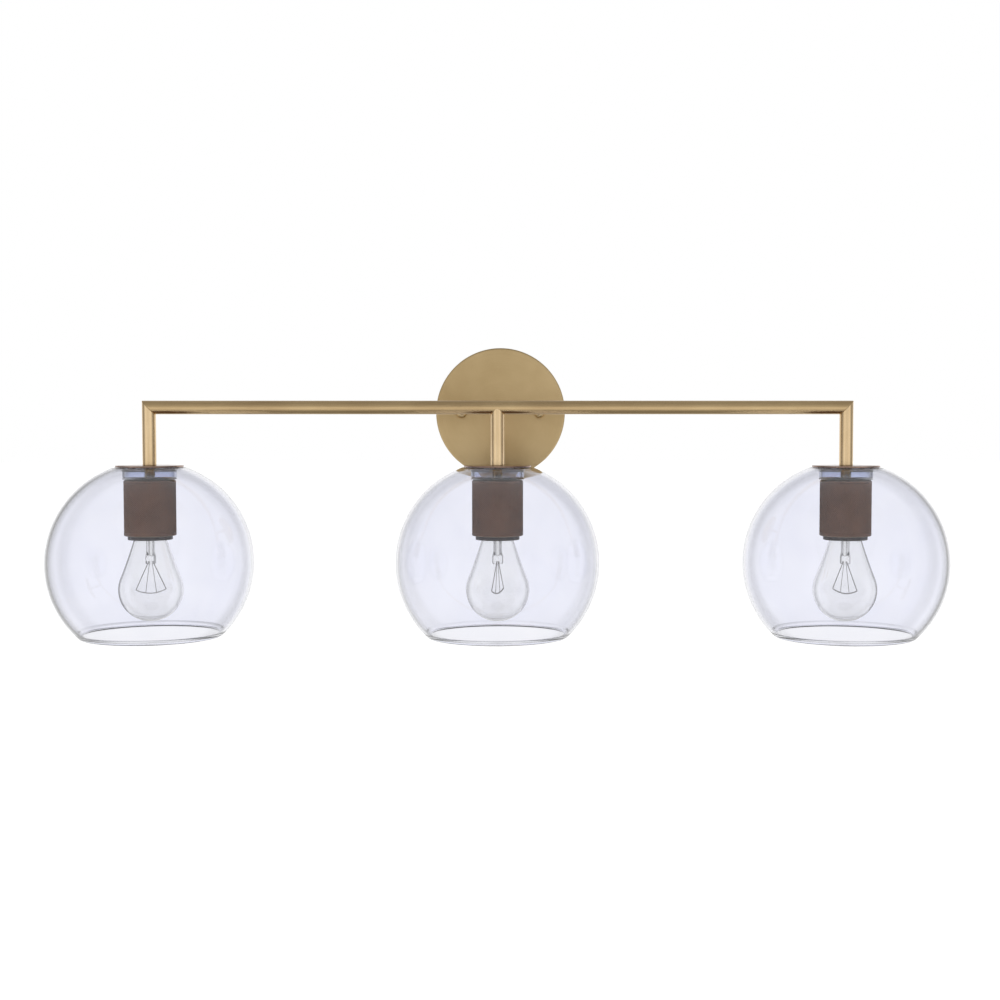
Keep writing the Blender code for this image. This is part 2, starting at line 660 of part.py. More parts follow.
lamp_pieces = [
    ("cap_disc_", cap_disc_mesh(), DISC_BRONZE),
    ("nipple_", nipple_mesh(), YELLOW_BRASS),
    ("nipple_nut_", nipple_nut_mesh(), YELLOW_BRASS),
    ("socket_body_", socket_body_mesh(), PHENOLIC),
    ("screw_shell_", screw_shell_mesh(), YELLOW_BRASS),
    ("centre_contact_", centre_contact_mesh(), YELLOW_BRASS),
    ("shade_gasket_", shade_gasket_mesh(), RUBBER),
    ("knurled_sleeve_", knurled_sleeve_mesh(), BRONZE),
    ("glass_shade_", glass_shade_mesh(), GLOBE_GLASS),
    ("bulb_cap_", bulb_cap_mesh(), NICKEL),
    ("bulb_insulator_", bulb_insulator_mesh(), VITRITE),
    ("bulb_glass_", bulb_glass_mesh(), BULB_GLASS),
    ("bulb_stem_", bulb_stem_mesh(), BULB_GLASS),
]
for side, direction in LAMPS.items():
    lamp = empty("lamp_" + side, (direction * LAMP_PITCH, -BAR_REACH, BAR_RISE))
    drop_tube(side, lamp)
    for name, mesh, material in lamp_pieces:
        place(name + side, mesh, material, lamp)
    rod_along("bulb_filament_" + side, filament_route(), FILAMENT_WIRE, TUNGSTEN, lamp)
for side, route in lead_routes():
    rod_along("lead_pair_" + side, rounded_route(route, LEAD_BEND), 2 * lead_radius, LEAD_SHEATH)
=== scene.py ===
import math

import bmesh
import bpy
import numpy as np
from mathutils import Euler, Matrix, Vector


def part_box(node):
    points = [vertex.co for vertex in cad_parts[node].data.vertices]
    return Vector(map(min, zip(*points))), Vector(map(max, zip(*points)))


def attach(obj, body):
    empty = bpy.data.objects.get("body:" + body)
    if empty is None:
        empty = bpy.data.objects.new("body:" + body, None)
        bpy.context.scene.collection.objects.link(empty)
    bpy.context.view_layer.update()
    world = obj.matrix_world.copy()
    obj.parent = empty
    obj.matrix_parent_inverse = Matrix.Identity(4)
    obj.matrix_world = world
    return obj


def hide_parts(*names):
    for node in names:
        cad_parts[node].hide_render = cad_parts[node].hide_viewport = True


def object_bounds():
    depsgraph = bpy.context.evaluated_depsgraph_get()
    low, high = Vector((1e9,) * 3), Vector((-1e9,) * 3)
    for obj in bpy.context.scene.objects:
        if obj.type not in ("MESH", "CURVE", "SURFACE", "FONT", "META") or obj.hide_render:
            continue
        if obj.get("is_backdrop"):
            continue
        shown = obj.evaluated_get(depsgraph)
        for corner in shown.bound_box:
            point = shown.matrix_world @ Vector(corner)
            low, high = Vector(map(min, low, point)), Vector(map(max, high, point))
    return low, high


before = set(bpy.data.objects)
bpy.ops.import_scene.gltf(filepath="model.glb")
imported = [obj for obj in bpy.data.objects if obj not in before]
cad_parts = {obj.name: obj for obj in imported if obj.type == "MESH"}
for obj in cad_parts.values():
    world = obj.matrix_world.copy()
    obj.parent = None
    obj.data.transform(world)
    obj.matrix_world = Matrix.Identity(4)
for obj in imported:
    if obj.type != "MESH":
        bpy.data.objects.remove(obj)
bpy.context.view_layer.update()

# --------------------------------------------------
# Wall bracket. A flat cross stamped from zinc-plated steel sheet, screwed to the outlet box through
# its two slots. It carries the whole fitting, and the plate hides it from the room.
# --------------------------------------------------
BRACKET_HALF_WIDTH = 0.011
BRACKET_EDGE = 0.00018
WIRE_PASSAGE = 0.010
SLOT_PITCH = 0.0889
SLOT_TRAVEL = 0.007
SLOT_RADIUS = 0.0025
FIT = 0.0003
SHARP_FROM = math.radians(38)
ZINC = (0.66, 0.67, 0.69)
ZINC_DULL = (0.42, 0.43, 0.46)


def add_node(tree, kind, inputs, **settings):
    """A node with its settings, whose inputs take either a value or the output of another node."""
    made = tree.nodes.new("ShaderNode" + kind)
    for name, value in settings.items():
        setattr(made, name, value)
    for name, value in inputs.items():
        if isinstance(value, bpy.types.NodeSocket):
            tree.links.new(value, made.inputs[name])
        else:
            made.inputs[name].default_value = value
    return made


def start_finish(name, constants):
    """A new material: its node tree, its shader with the constant sockets set, and object coordinates."""
    made = bpy.data.materials.new(name)
    made.use_nodes = True
    shader = made.node_tree.nodes["Principled BSDF"]
    for socket, value in constants.items():
        shader.inputs[socket].default_value = value
    return made, made.node_tree, shader, add_node(made.node_tree, "TexCoord", {}).outputs["Object"]


def noise(tree, where, scale, detail, **more):
    """Cloudy noise over the piece, a value round one half."""
    return add_node(tree, "TexNoise", {"Vector": where, "Scale": scale, "Detail": detail,
                                       **more}).outputs["Fac"]


def combine(tree, operation, *values):
    """The named operation of arithmetic on one, two or three values."""
    return add_node(tree, "Math", dict(enumerate(values)), operation=operation).outputs["Value"]


def spread(tree, value, low, high, start=0.3, end=0.7, **settings):
    """A pattern's value stretched from its usual span to the span from low to high."""
    return add_node(tree, "MapRange", {"Value": value, "From Min": start, "From Max": end,
                                       "To Min": low, "To Max": high}, **settings).outputs["Result"]


def blend_colours(tree, share, first, second):
    """A colour that goes from the first to the second as the share goes from 0 to 1."""
    first, second = (end if isinstance(end, bpy.types.NodeSocket) else (*end, 1.0)
                     for end in (first, second))
    return add_node(tree, "Mix", {"Factor": share, 6: first, 7: second}, data_type="RGBA").outputs[2]


def dress(tree, shader, colour, roughness, height, strength, distance=0.0002):
    """Gives the shader its colour, its roughness, and a relief of the given strength from a height."""
    bump = add_node(tree, "Bump", {"Height": height, "Strength": strength, "Distance": distance})
    tree.links.new(colour, shader.inputs["Base Color"])
    tree.links.new(roughness, shader.inputs["Roughness"])
    tree.links.new(bump.outputs["Normal"], shader.inputs["Normal"])


def plated_steel(name):
    """Zinc plating: a fine frost of crystals with cloudy dull patches."""
    made, tree, shader, where = start_finish(name, {"Metallic": 1.0})
    crystals = add_node(tree, "TexVoronoi", {"Vector": where, "Scale": 620.0}).outputs["Color"]
    level = add_node(tree, "RGBToBW", {"Color": crystals}).outputs["Val"]
    clouds = noise(tree, where, 130.0, 5.0)
    both = combine(tree, "MULTIPLY", level, clouds)
    dress(tree, shader, blend_colours(tree, spread(tree, both, 0, 1, 0.1, 0.5), ZINC_DULL, ZINC),
          spread(tree, clouds, 0.26, 0.5), both, 0.12)
    return made


def faces_on(points, ends_meet=False):
    """The points of a grid as one list, and its faces as rows of four corners. Columns join round into a
    ring. Rows join last to first where the ends meet. A row whose points all coincide is a pole, and its
    corners are one point."""
    rows, columns = points.shape[:2]
    index = np.arange(rows * columns).reshape(rows, columns)
    for end in (0, -1):
        if not ends_meet and np.ptp(points[end], axis=0).max() < 1e-9:
            index[end] = index[end, 0]
    index = np.hstack([index, index[:, :1]])
    if ends_meet:
        index = np.vstack([index, index[:1]])
    corners = [index[:-1, :-1], index[1:, :-1], index[1:, 1:], index[:-1, 1:]]
    return points.reshape(-1, 3), np.stack(corners, axis=-1).reshape(-1, 4)


def make_mesh(name, finish, skins):
    """One mesh from several grids with their faces, without the points that no face uses. A face whose
    first and last corners, or middle two, are the same point is a triangle at a pole."""
    points = np.vstack([skin[0] for skin in skins])
    before = np.cumsum([0] + [len(skin[0]) for skin in skins[:-1]])
    faces = np.vstack([skin[1] + offset for skin, offset in zip(skins, before)])
    at_first = faces[:, 0] == faces[:, 3]
    at_last = faces[:, 1] == faces[:, 2]
    whole = faces[~(at_first | at_last)]
    tips = np.vstack([faces[at_first][:, [0, 1, 2]], faces[at_last][:, [0, 1, 3]]])
    used, corners = np.unique(np.concatenate([whole.ravel(), tips.ravel()]), return_inverse=True)
    starts = np.concatenate([np.arange(len(whole)) * 4, len(whole) * 4 + np.arange(len(tips)) * 3])
    mesh = bpy.data.meshes.new(name)
    mesh.vertices.add(len(used))
    mesh.vertices.foreach_set("co", points[used].astype(np.float32).ravel())
    mesh.loops.add(len(corners))
    mesh.loops.foreach_set("vertex_index", corners.astype(np.int32).ravel())
    mesh.polygons.add(len(starts))
    mesh.polygons.foreach_set("loop_start", starts.astype(np.int32))
    mesh.update(calc_edges=True)
    mesh.validate()
    mesh.shade_smooth()
    mesh.set_sharp_from_angle(angle=SHARP_FROM)
    mesh.materials.append(finish)
    return mesh


def make_piece(name, body, finish, slot, node, *skins):
    """One object of the given grids, which rides its body and stands for its CAD node."""
    piece = bpy.data.objects.new(name, make_mesh(name, finish, skins))
    bpy.context.scene.collection.objects.link(piece)
    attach(piece, body)
    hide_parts(node)
    return piece


def middle(node):
    """The centre of a CAD node's box."""
    low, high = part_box(node)
    return (low + high) / 2


def outward(node):
    """Where a piece that stands out from the wall starts on its axis, its radius and its length."""
    low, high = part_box(node)
    centre = middle(node)
    return Vector((centre.x, high.y, centre.z)), (high.z - low.z) / 2, high.y - low.y


def punched_cell(low, high, hole, radius, y, travel=0):
    """A rectangle in X and Z with a round or slotted hole. Each point of the rim is joined to the point
    of the hole's edge that faces it, so the grid runs from the hole, t = 0, to the rim, t = 1."""
    step = np.linspace(0, 1, 17)[:-1, None]
    corners = np.array([(low[0], low[1]), (high[0], low[1]), (high[0], high[1]), (low[0], high[1])])
    rim = np.vstack([a + (b - a) * step for a, b in zip(corners, np.roll(corners, -1, axis=0))])
    spine = np.stack([np.full(len(rim), hole[0]),
                      np.clip(rim[:, 1], hole[1] - travel / 2, hole[1] + travel / 2)], axis=-1)
    away = rim - spine
    edge = spine + away / np.linalg.norm(away, axis=1, keepdims=True) * radius
    t = np.array([0, 0.15, 0.55, 1])[:, None, None]
    flat = edge + (rim - edge) * t
    return faces_on(np.stack([flat[..., 0], np.full(flat.shape[:2], y), flat[..., 1]], axis=-1))


def wall_bracket():
    """The cross as punched cells that share their edges, merged, then thickened and edge-rounded."""
    low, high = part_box("wall_bracket")
    half, reach, y = BRACKET_HALF_WIDTH, high.x, (low.y + high.y) / 2
    start, stud_radius, _ = outward("canopy_stud_right")
    stud_x, hole = start.x, stud_radius + FIT
    ground_x = middle("ground_screw").x
    split = (ground_x - stud_x) / 2
    cells = [punched_cell((-half, -half), (half, half), (0, 0), WIRE_PASSAGE, y),
             punched_cell((half, -half), (reach, half), (stud_x, 0), hole, y),
             punched_cell((-reach, -half), (split, half), (-stud_x, 0), hole, y),
             punched_cell((split, -half), (-half, half), (ground_x, 0), hole, y),
             punched_cell((-half, half), (half, reach), (0, SLOT_PITCH / 2), SLOT_RADIUS, y, SLOT_TRAVEL),
             punched_cell((-half, -reach), (half, -half), (0, -SLOT_PITCH / 2), SLOT_RADIUS, y, SLOT_TRAVEL)]
    bracket = make_piece("wall_bracket_steel", "root", plated_steel("zinc_plate"), "zinc_steel",
                         "wall_bracket", *cells)
    merged = bmesh.new()
    merged.from_mesh(bracket.data)
    bmesh.ops.remove_doubles(merged, verts=merged.verts, dist=1e-6)
    merged.to_mesh(bracket.data)
    merged.free()
    wall = bracket.modifiers.new("sheet", "SOLIDIFY")
    wall.thickness = high.y - low.y
    wall.offset = 0
    edge = bracket.modifiers.new("rounded_edges", "BEVEL")
    edge.width = BRACKET_EDGE
    edge.segments = 2


wall_bracket()

# --------------------------------------------------
# Studs and ground screw. Two threaded steel studs are pressed into the bracket and stand through the
# plate, and a green slotted screw takes the ground lead.
# --------------------------------------------------
STUD_PITCH = 0.0007
STUD_THREAD_DEPTH = 0.00028
STUD_PLAIN_FOOT = 0.002
STUD_PLAIN_TIP = 0.0005
KEEN_EDGE = 0.0001
DULL_EDGE = 0.0002
SOFT_EDGE = 0.0003
SLOT_HALF_WIDTH = 0.0007
SLOT_EASE = 0.0002
SLOT_DEPTH = 0.0008
GREEN = (0.02, 0.20, 0.055)
GREEN_WORN = (0.10, 0.30, 0.12)
UPRIGHT = np.eye(3)
OUT_FROM_WALL = np.array([(1, 0, 0), (0, 0, 1), (0, -1, 0)], float)


def eased(corners, turns=5):
    """An outline from (radius, height, ease) corners. A corner with an ease becomes a round arc that
    starts and ends that far from it, a rational quadratic curve whose middle weight is the sine of half
    the corner's angle. A short step beside each arc keeps the flat beside it flat. The first and last
    corners stay as they are."""
    spots = np.array([corner[:2] for corner in corners], float)
    outline = [spots[:1]]
    t = np.linspace(0, 1, turns)[:, None]
    for before, spot, after, ease in zip(spots, spots[1:], spots[2:], [c[2] for c in corners[1:-1]]):
        if not ease:
            outline.append(spot[None])
            continue
        into, out = before - spot, after - spot
        into, out = into / np.linalg.norm(into), out / np.linalg.norm(out)
        weight = math.sqrt(max(0.0, (1 - into @ out) / 2))
        start, end = spot + into * ease, spot + out * ease
        parts = (1 - t) ** 2, 2 * weight * t * (1 - t), t ** 2
        curve = (parts[0] * start + parts[1] * spot + parts[2] * end) / sum(parts)
        outline += [(start + into * ease * 0.3)[None], curve, (end + out * ease * 0.3)[None]]
    return np.vstack(outline + [spots[-1:]])


def stepped(outline, step):
    """The outline with its straight runs cut into equal steps no longer than the given one."""
    lengths = np.linalg.norm(np.diff(outline, axis=0), axis=1)
    counts = np.maximum(1, np.ceil(lengths / step - 1e-9)).astype(int)
    along = np.repeat(np.arange(len(counts)), counts)
    share = np.arange(counts.sum()) - np.repeat(np.cumsum(counts) - counts, counts)
    share = (share / counts[along])[:, None]
    cut = outline[along] + (outline[along + 1] - outline[along]) * share
    return np.vstack([cut, outline[-1:]])


def spun(outline, origin, basis=UPRIGHT, columns=96, shape=None, ends_meet=True):
    """The (radius, height) outline turned round the basis's third direction. The outline runs clockwise,
    down its outer side, and one that doesn't is reversed. shape changes the radius: it gets the angle,
    the radius and the height of each point on the grid."""
    radius, height = outline.T
    area = np.sum(radius * np.roll(height, -1) - np.roll(radius, -1) * height)
    if area > 0:
        radius, height = radius[::-1], height[::-1]
    angle = np.linspace(0, math.tau, columns, endpoint=False)[None]
    radius, height = radius[:, None] + 0 * angle, height[:, None] + 0 * angle
    if shape:
        radius = shape(angle, radius, height)
    grid = np.stack([radius * np.cos(angle), radius * np.sin(angle), height], axis=-1)
    return faces_on(grid @ basis + np.array(origin), ends_meet)


def thread(pitch, depth, low, high, at_least=0.0):
    """A screw thread for spun(): where the radius is at least the given one, it drops by up to the depth
    along one helix. The groove is a rounded wave of the angle's share of a turn plus height over pitch,
    and it fades at both ends."""
    def cut(angle, radius, height):
        turn = angle / math.tau + height / pitch
        wave = 0.5 + 0.5 * np.cos(math.tau * turn)
        fade = np.clip((height - low) / pitch, 0, 1) * np.clip((high - height) / pitch, 0, 1)
        return radius - depth * wave * fade * (radius > at_least)
    return cut


def stud(side, finish):
    """A rod with a rolled thread, closed at both ends, with a chamfered tip."""
    start, radius, length = outward("canopy_stud_" + side)
    outline = eased([(0, length, 0), (radius * 0.72, length, KEEN_EDGE),
                     (radius, length - radius * 0.3, DULL_EDGE), (radius, 0, KEEN_EDGE), (0, 0, 0)])
    cut = thread(STUD_PITCH, STUD_THREAD_DEPTH, STUD_PLAIN_FOOT, length - STUD_PLAIN_TIP, radius * 0.9)
    make_piece("stud_" + side, "root", finish, "zinc_steel", "canopy_stud_" + side,
               spun(stepped(outline, STUD_PITCH / 4), start, OUT_FROM_WALL, 24, cut, False))


def worn_enamel(name, colour, worn):
    """Dyed clear coat on the screw head, thin and scuffed on its high spots."""
    made, tree, shader, where = start_finish(name, {"Metallic": 0.35, "Coat Weight": 0.4})
    scuffs = noise(tree, where, 900.0, 6.0)
    tree.links.new(blend_colours(tree, spread(tree, scuffs, 0, 1, 0.45, 0.7), colour, worn),
                   shader.inputs["Base Color"])
    tree.links.new(spread(tree, scuffs, 0.25, 0.55), shader.inputs["Roughness"])
    return made


def ground_screw():
    """A screw with a low domed head. Its slot is a band across the head where the height drops."""
    start, head, length = outward("ground_screw")
    shank = head / 2
    seat = length - shank
    outline = eased([(0, length, 0), (head * 0.8, length, 0.0006), (head, seat + shank * 0.4, SOFT_EDGE),
                     (head, seat, DULL_EDGE), (shank, seat, KEEN_EDGE), (shank, 0, DULL_EDGE), (0, 0, 0)])
    points, faces = spun(stepped(outline, STUD_PITCH / 3), start, OUT_FROM_WALL, 48,
                         thread(STUD_PITCH, STUD_THREAD_DEPTH, 0, seat, shank * 0.9), False)
    across = np.abs(points[:, 2] - start.z)
    in_slot = np.clip((SLOT_HALF_WIDTH - across) / SLOT_EASE, 0, 1)
    in_slot *= start.y - points[:, 1] > seat + shank * 0.45
    points[:, 1] += SLOT_DEPTH * in_slot
    make_piece("ground_screw_green", "root", worn_enamel("green_screw_coat", GREEN, GREEN_WORN),
               "green_enamel", "ground_screw", (points, faces))


stud_steel = plated_steel("stud_zinc")
for side in ("left", "right"):
    stud(side, stud_steel)
ground_screw()

# --------------------------------------------------
# Backplate. A round pan spun from sheet brass over a form, flat in front and open to the wall. It is
# brushed on the lathe in fine rings, toned to an antique brass and lacquered.
# --------------------------------------------------
PLATE_WALL = 0.0012
PLATE_CORNER = 0.0015
PLATE_STEP = 0.004
BRASS_LIGHT = (0.66, 0.50, 0.275)
BRASS_DARK = (0.47, 0.335, 0.165)


def brushed_metal(name, light, dark, strokes, gloss, centre=None, relief=0.1, tone=22.0):
    """Brushed and toned metal. Fine strokes are noise squeezed by the given scales along X, Y and Z, or
    rings round an axis through the centre, where the noise reads the distance from it. Slow clouds of
    patina and the strokes together pick a colour between dark and light, and the strokes alone set the
    gloss and the relief."""
    made, tree, shader, where = start_finish(name, {"Metallic": 1.0})
    strands = {"Scale": 1.0, "Detail": 7.0, "Roughness": 0.62}
    if centre is None:
        squeezed = add_node(tree, "Mapping", {"Vector": where, "Scale": strokes}).outputs["Vector"]
        grain = add_node(tree, "TexNoise", {"Vector": squeezed, **strands}).outputs["Fac"]
    else:
        offset = tuple(-c * s for c, s in zip(centre, strokes))
        squeezed = add_node(tree, "Mapping", {"Vector": where, "Location": offset, "Scale": strokes})
        reach = add_node(tree, "VectorMath", {0: squeezed.outputs["Vector"]}, operation="LENGTH")
        grain = add_node(tree, "TexNoise", {"W": reach.outputs["Value"], **strands},
                         noise_dimensions="1D").outputs["Fac"]
    both = combine(tree, "ADD", grain, noise(tree, where, tone, 4.0))
    dress(tree, shader, blend_colours(tree, spread(tree, both, 0, 1, 0.72, 1.28), dark, light),
          spread(tree, grain, *gloss), grain, relief, 0.0003)
    return made


def backplate():
    """The pan's wall turned round the plate's centre. Its inmost ring is the arm's hole, which lies a
    little higher, so the rings near it are raised by a share that fades outwards."""
    start, radius, depth = outward("backplate")
    inside, face = radius - PLATE_WALL, depth - PLATE_WALL
    nipple, nipple_radius, _ = outward("arm_nipple")
    hole = nipple_radius + FIT
    outline = eased([(hole, face, 0), (hole, depth, DULL_EDGE), (radius, depth, PLATE_CORNER),
                     (radius, 0, SOFT_EDGE), (inside, 0, SOFT_EDGE), (inside, face, 0.0006),
                     (hole, face, 0)], 7)[:-1]
    points, faces = spun(stepped(outline, PLATE_STEP), (0, start.y, 0), OUT_FROM_WALL, 192)
    reach = np.hypot(points[:, 0], points[:, 2])
    points[:, 2] += nipple.z * np.clip(1 - (reach - hole) / (radius / 2 - hole), 0, 1)
    plate_brass = brushed_metal("lathe_brushed_brass", BRASS_LIGHT, BRASS_DARK, (2600, 0, 2600),
                                (0.30, 0.42), (0, 0, 0), 0.07, 16.0)
    make_piece("backplate_pan", "root", plate_brass, "antique_brass", "backplate", (points, faces))


backplate()

# --------------------------------------------------
# Arm fixing. A hollow threaded brass nipple screws into the arm and comes through the plate, where a
# steel washer and a thin hexagon nut pull the arm tight from behind.
# --------------------------------------------------
NIPPLE_PITCH = 0.001
NIPPLE_THREAD_DEPTH = 0.0004
NIPPLE_BORE = 0.004
ROUND_NIPPLE = 0.0053
YELLOW_LIGHT = (0.80, 0.60, 0.26)
YELLOW_DARK = (0.58, 0.40, 0.15)


def ring_outline(inner, outer, thick, inner_ease, outer_ease, turns=5):
    """The section of a flat ring, from halfway up its bore and back, with both its rims eased."""
    return eased([(inner, thick / 2, 0), (inner, thick, inner_ease), (outer, thick, outer_ease),
                  (outer, 0, outer_ease), (inner, 0, inner_ease), (inner, thick / 2, 0)], turns)


def threaded_nipple(name, node, start, radius, length, basis):
    """A pipe with a thread over its whole outer side and a countersink at both ends of its bore."""
    outline = stepped(ring_outline(NIPPLE_BORE, radius, length, SOFT_EDGE, 0.0004), NIPPLE_PITCH / 4)
    cut = thread(NIPPLE_PITCH, NIPPLE_THREAD_DEPTH, 0, length, (NIPPLE_BORE + radius) / 2)
    make_piece(name, "root", yellow_brass, "yellow_brass", node, spun(outline[:-1], start, basis, 48, cut))


def hexagon_nut(name, node, start, flats, thickness, basis):
    """A hexagon nut. The radius is half the flats over the cosine of the angle from the nearest flat,
    cut by a cone at both faces, which leaves the round chamfer on the corners."""
    outline = stepped(ring_outline(ROUND_NIPPLE, flats * 0.6, thickness, SOFT_EDGE, 0), thickness / 8)

    def shape(angle, radius, height):
        sixth = math.tau / 6
        hexagon = flats / 2 / np.cos(angle % sixth - sixth / 2)
        end = np.minimum(height, thickness - height)
        cone = flats * 0.5 + np.maximum(end, 0) * 1.8 + 0.0001
        outside = np.minimum(radius, np.minimum(hexagon, cone))
        return np.where(radius > ROUND_NIPPLE * 1.02, outside, radius)
    make_piece(name, "root", yellow_brass, "yellow_brass", node, spun(outline[:-1], start, basis, 96, shape))


yellow_brass = brushed_metal("turned_yellow_brass", YELLOW_LIGHT, YELLOW_DARK, (300, 300, 4000),
                             (0.2, 0.34))
threaded_nipple("arm_nipple_brass", "arm_nipple", *outward("arm_nipple"), OUT_FROM_WALL)
start, outer, thick = outward("arm_washer")
washer = eased([(ROUND_NIPPLE, thick / 2, 0), (ROUND_NIPPLE, thick, KEEN_EDGE), (outer, thick, SOFT_EDGE),
                (outer, 0, DULL_EDGE), (ROUND_NIPPLE, 0, KEEN_EDGE), (ROUND_NIPPLE, thick / 2, 0)])
make_piece("arm_washer_steel", "root", plated_steel("washer_zinc"), "zinc_steel", "arm_washer",
           spun(washer[:-1], start, OUT_FROM_WALL, 64))
start, half_flats, thick = outward("arm_locknut")
hexagon_nut("arm_locknut_brass", "arm_locknut", start, half_flats * 2, thick, OUT_FROM_WALL)

# --------------------------------------------------
# Arm, bar and drop tubes. Half-inch brass tube, mitred at 45 degrees and brazed where the bar turns
# down, and notched to the bar where the arm and the middle drop meet it. All are brushed lengthwise.
# --------------------------------------------------
TUBE_WALL = 0.001
TUBE_EDGE = 0.0002
JOINT = 0.00006
LAMPS = {"left": -1, "centre": 0, "right": 1}
ALONG_BAR = np.array([(0, 0, -1), (0, 1, 0), (1, 0, 0)], float)
BAR_LIGHT = (0.70, 0.52, 0.28)
BAR_DARK = (0.50, 0.345, 0.18)
# Painted light: the drop tubes' brass is a lighter copy of the bar's brass, for the brighter highlights they
# catch.
PAINTED_LIT_DROP_LIGHT = (0.88, 0.68, 0.42)
PAINTED_LIT_DROP_DARK = (0.66, 0.475, 0.27)


def tube(name, node, slot, finish, origin, basis, radius, low_end, high_end):
    """A tube along the basis's third direction. Rows run up the outer side, over the end, down the bore
    and back. Each end's height is a function of the point across the tube, and the edges are rounded by
    rows that step in from the wall and back from the end together."""
    bore = radius - TUBE_WALL
    steps = np.array([(0, 3), (0, 1), (0.29, 0.29), (1, 0)]) * TUBE_EDGE
    climb = [(radius - inward, back, 0) for inward, back in steps[::-1]]
    climb += [(radius - inward, back, 1) for inward, back in steps]
    fall = [(bore + inward, back, 1) for inward, back in steps[::-1]]
    fall += [(bore + inward, back, 0) for inward, back in steps]
    rows = np.array((climb + fall)[::-1])
    angle = np.linspace(0, math.tau, 96, endpoint=False)[None]
    across = rows[:, :1] * np.cos(angle), rows[:, :1] * np.sin(angle)
    back, at_high = rows[:, 1:2], rows[:, 2:]
    height = np.where(at_high > 0, high_end(*across) - back, low_end(*across) + back)
    grid = np.stack([*across, height], axis=-1)
    make_piece(name, "root", finish, slot, node, faces_on(grid @ basis + np.array(origin), True))


def notched(axis_height, radius, lean):
    """A tube end fitted under the bar, which is a half circle across the tube, or mitred to the other
    tube that meets the bar there."""
    fit = radius + JOINT
    return lambda x, y: axis_height - np.maximum(np.sqrt(np.maximum(fit ** 2 - y ** 2, 0)),
                                                 lean * y + JOINT)


def frame_tubes():
    """The bar level along X, the arm from plate to bar, and a drop tube to each cap disc."""
    low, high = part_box("crossbar")
    axis, radius = middle("crossbar"), (high.z - low.z) / 2
    end = middle("drop_tube_right").x
    tube("crossbar_brass", "crossbar", "antique_brass", bar_brass, axis, ALONG_BAR, radius,
         lambda x, y: -(end - x - JOINT), lambda x, y: end - x - JOINT)
    plate_front = -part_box("backplate")[0].y
    tube("arm_brass", "arm", "tan_brass", bar_brass, (0, 0, axis.z), OUT_FROM_WALL, radius,
         lambda x, y: plate_front + JOINT + 0 * x, notched(-axis.y, radius, -1))
    for side, direction in LAMPS.items():
        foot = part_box("cap_disc_" + side)[1].z + JOINT - axis.z
        lamp = (middle("drop_tube_" + side).x, axis.y, axis.z)
        top = notched(0, radius, 1) if direction == 0 else (
            lambda x, y, direction=direction: direction * x - JOINT)
        tube("drop_tube_brass_" + side, "drop_tube_" + side, "tan_brass", drop_brass_painted_lit, lamp, UPRIGHT,
             radius, lambda x, y, foot=foot: foot + 0 * x, top)


bar_brass = brushed_metal("lengthwise_brushed_brass", BAR_LIGHT, BAR_DARK, (30, 2400, 2400),
                          (0.22, 0.34), relief=0.08, tone=14.0)
# Painted light: the drop tubes use a lighter copy of the bar's brass colours.
drop_brass_painted_lit = brushed_metal("satin_tan_brass", PAINTED_LIT_DROP_LIGHT, PAINTED_LIT_DROP_DARK, (2400, 2400, 40),
                           (0.20, 0.30), relief=0.06, tone=20.0)
frame_tubes()

# --------------------------------------------------
# Ball nuts. Two small turned brass balls with a flat seat and a blind thread hold the plate on its
# studs. They are screwed on by hand.
# --------------------------------------------------
STUD_BORE = 0.0024
BLIND_END = 0.0033
BLIND_CONE = 0.0005


def ball_nut(side):
    """A ball cut flat at its seat, with a blind bore for the stud. Heights run out from the wall."""
    start, ball, length = outward("cap_nut_" + side)
    rise = length - ball
    seat = math.sqrt(ball ** 2 - rise ** 2)
    angle = np.linspace(math.pi / 2, -math.asin(rise / ball), 28)
    outer = np.stack([ball * np.cos(angle), rise + ball * np.sin(angle)], axis=-1)
    outer[0, 0] = 0
    foot = eased([(seat, KEEN_EDGE, 0), (seat - DULL_EDGE, 0, 0), (STUD_BORE, 0, SOFT_EDGE),
                  (STUD_BORE, length - BLIND_END - BLIND_CONE, 0.0006), (0, length - BLIND_END, 0)])
    skin = spun(np.vstack([outer[:-1], foot]), start, OUT_FROM_WALL, 64, ends_meet=False)
    brass = brushed_metal("turned_ball_brass_" + side, BRASS_LIGHT, BRASS_DARK, (3000, 0, 3000),
                          (0.22, 0.32), tuple(middle("cap_nut_" + side)), 0.05, 60.0)
    make_piece("ball_nut_" + side, "cap_nut_" + side, brass, "antique_brass", "cap_nut_" + side, skin)


for side in ("left", "right"):
    ball_nut(side)

# --------------------------------------------------
# Lead pairs. Two insulated stranded wires twisted together feed each lamp, from behind the plate,
# through the nipple, the arm, the bar and the drop tube down to the lampholder's terminals.
# --------------------------------------------------
LEAD_TAIL = 0.030
LEAD_BEND = 0.0035
LEAD_STEP = 0.0012
LEAD_TWIST = 0.016
SHEATH = (0.72, 0.71, 0.68)
SHEATH_AGED = (0.60, 0.57, 0.50)


def sheathing(name, fresh, aged):
    """Fibreglass-braided high-temperature sheath: a fine diagonal weave with yellowed stretches."""
    made, tree, shader, where = start_finish(name, {"Sheen Weight": 0.3})
    weave = add_node(tree, "TexMagic", {"Vector": where, "Scale": 900.0, "Distortion": 1.4},
                     turbulence_depth=2).outputs["Fac"]
    ageing = spread(tree, noise(tree, where, 45.0, 4.0), 0, 1)
    dress(tree, shader, blend_colours(tree, ageing, fresh, aged), spread(tree, weave, 0.45, 0.75),
          weave, 0.3)
    return made


def square_to(path, away):
    """Two directions across a path at each of its points: the path's direction crossed with a fixed one
    that the path never takes, and the one square to both."""
    forward = np.gradient(path, axis=0)
    forward /= np.linalg.norm(forward, axis=1, keepdims=True)
    side = np.cross(forward, np.array(away, float))
    side /= np.linalg.norm(side, axis=1, keepdims=True)
    return side, np.cross(forward, side)


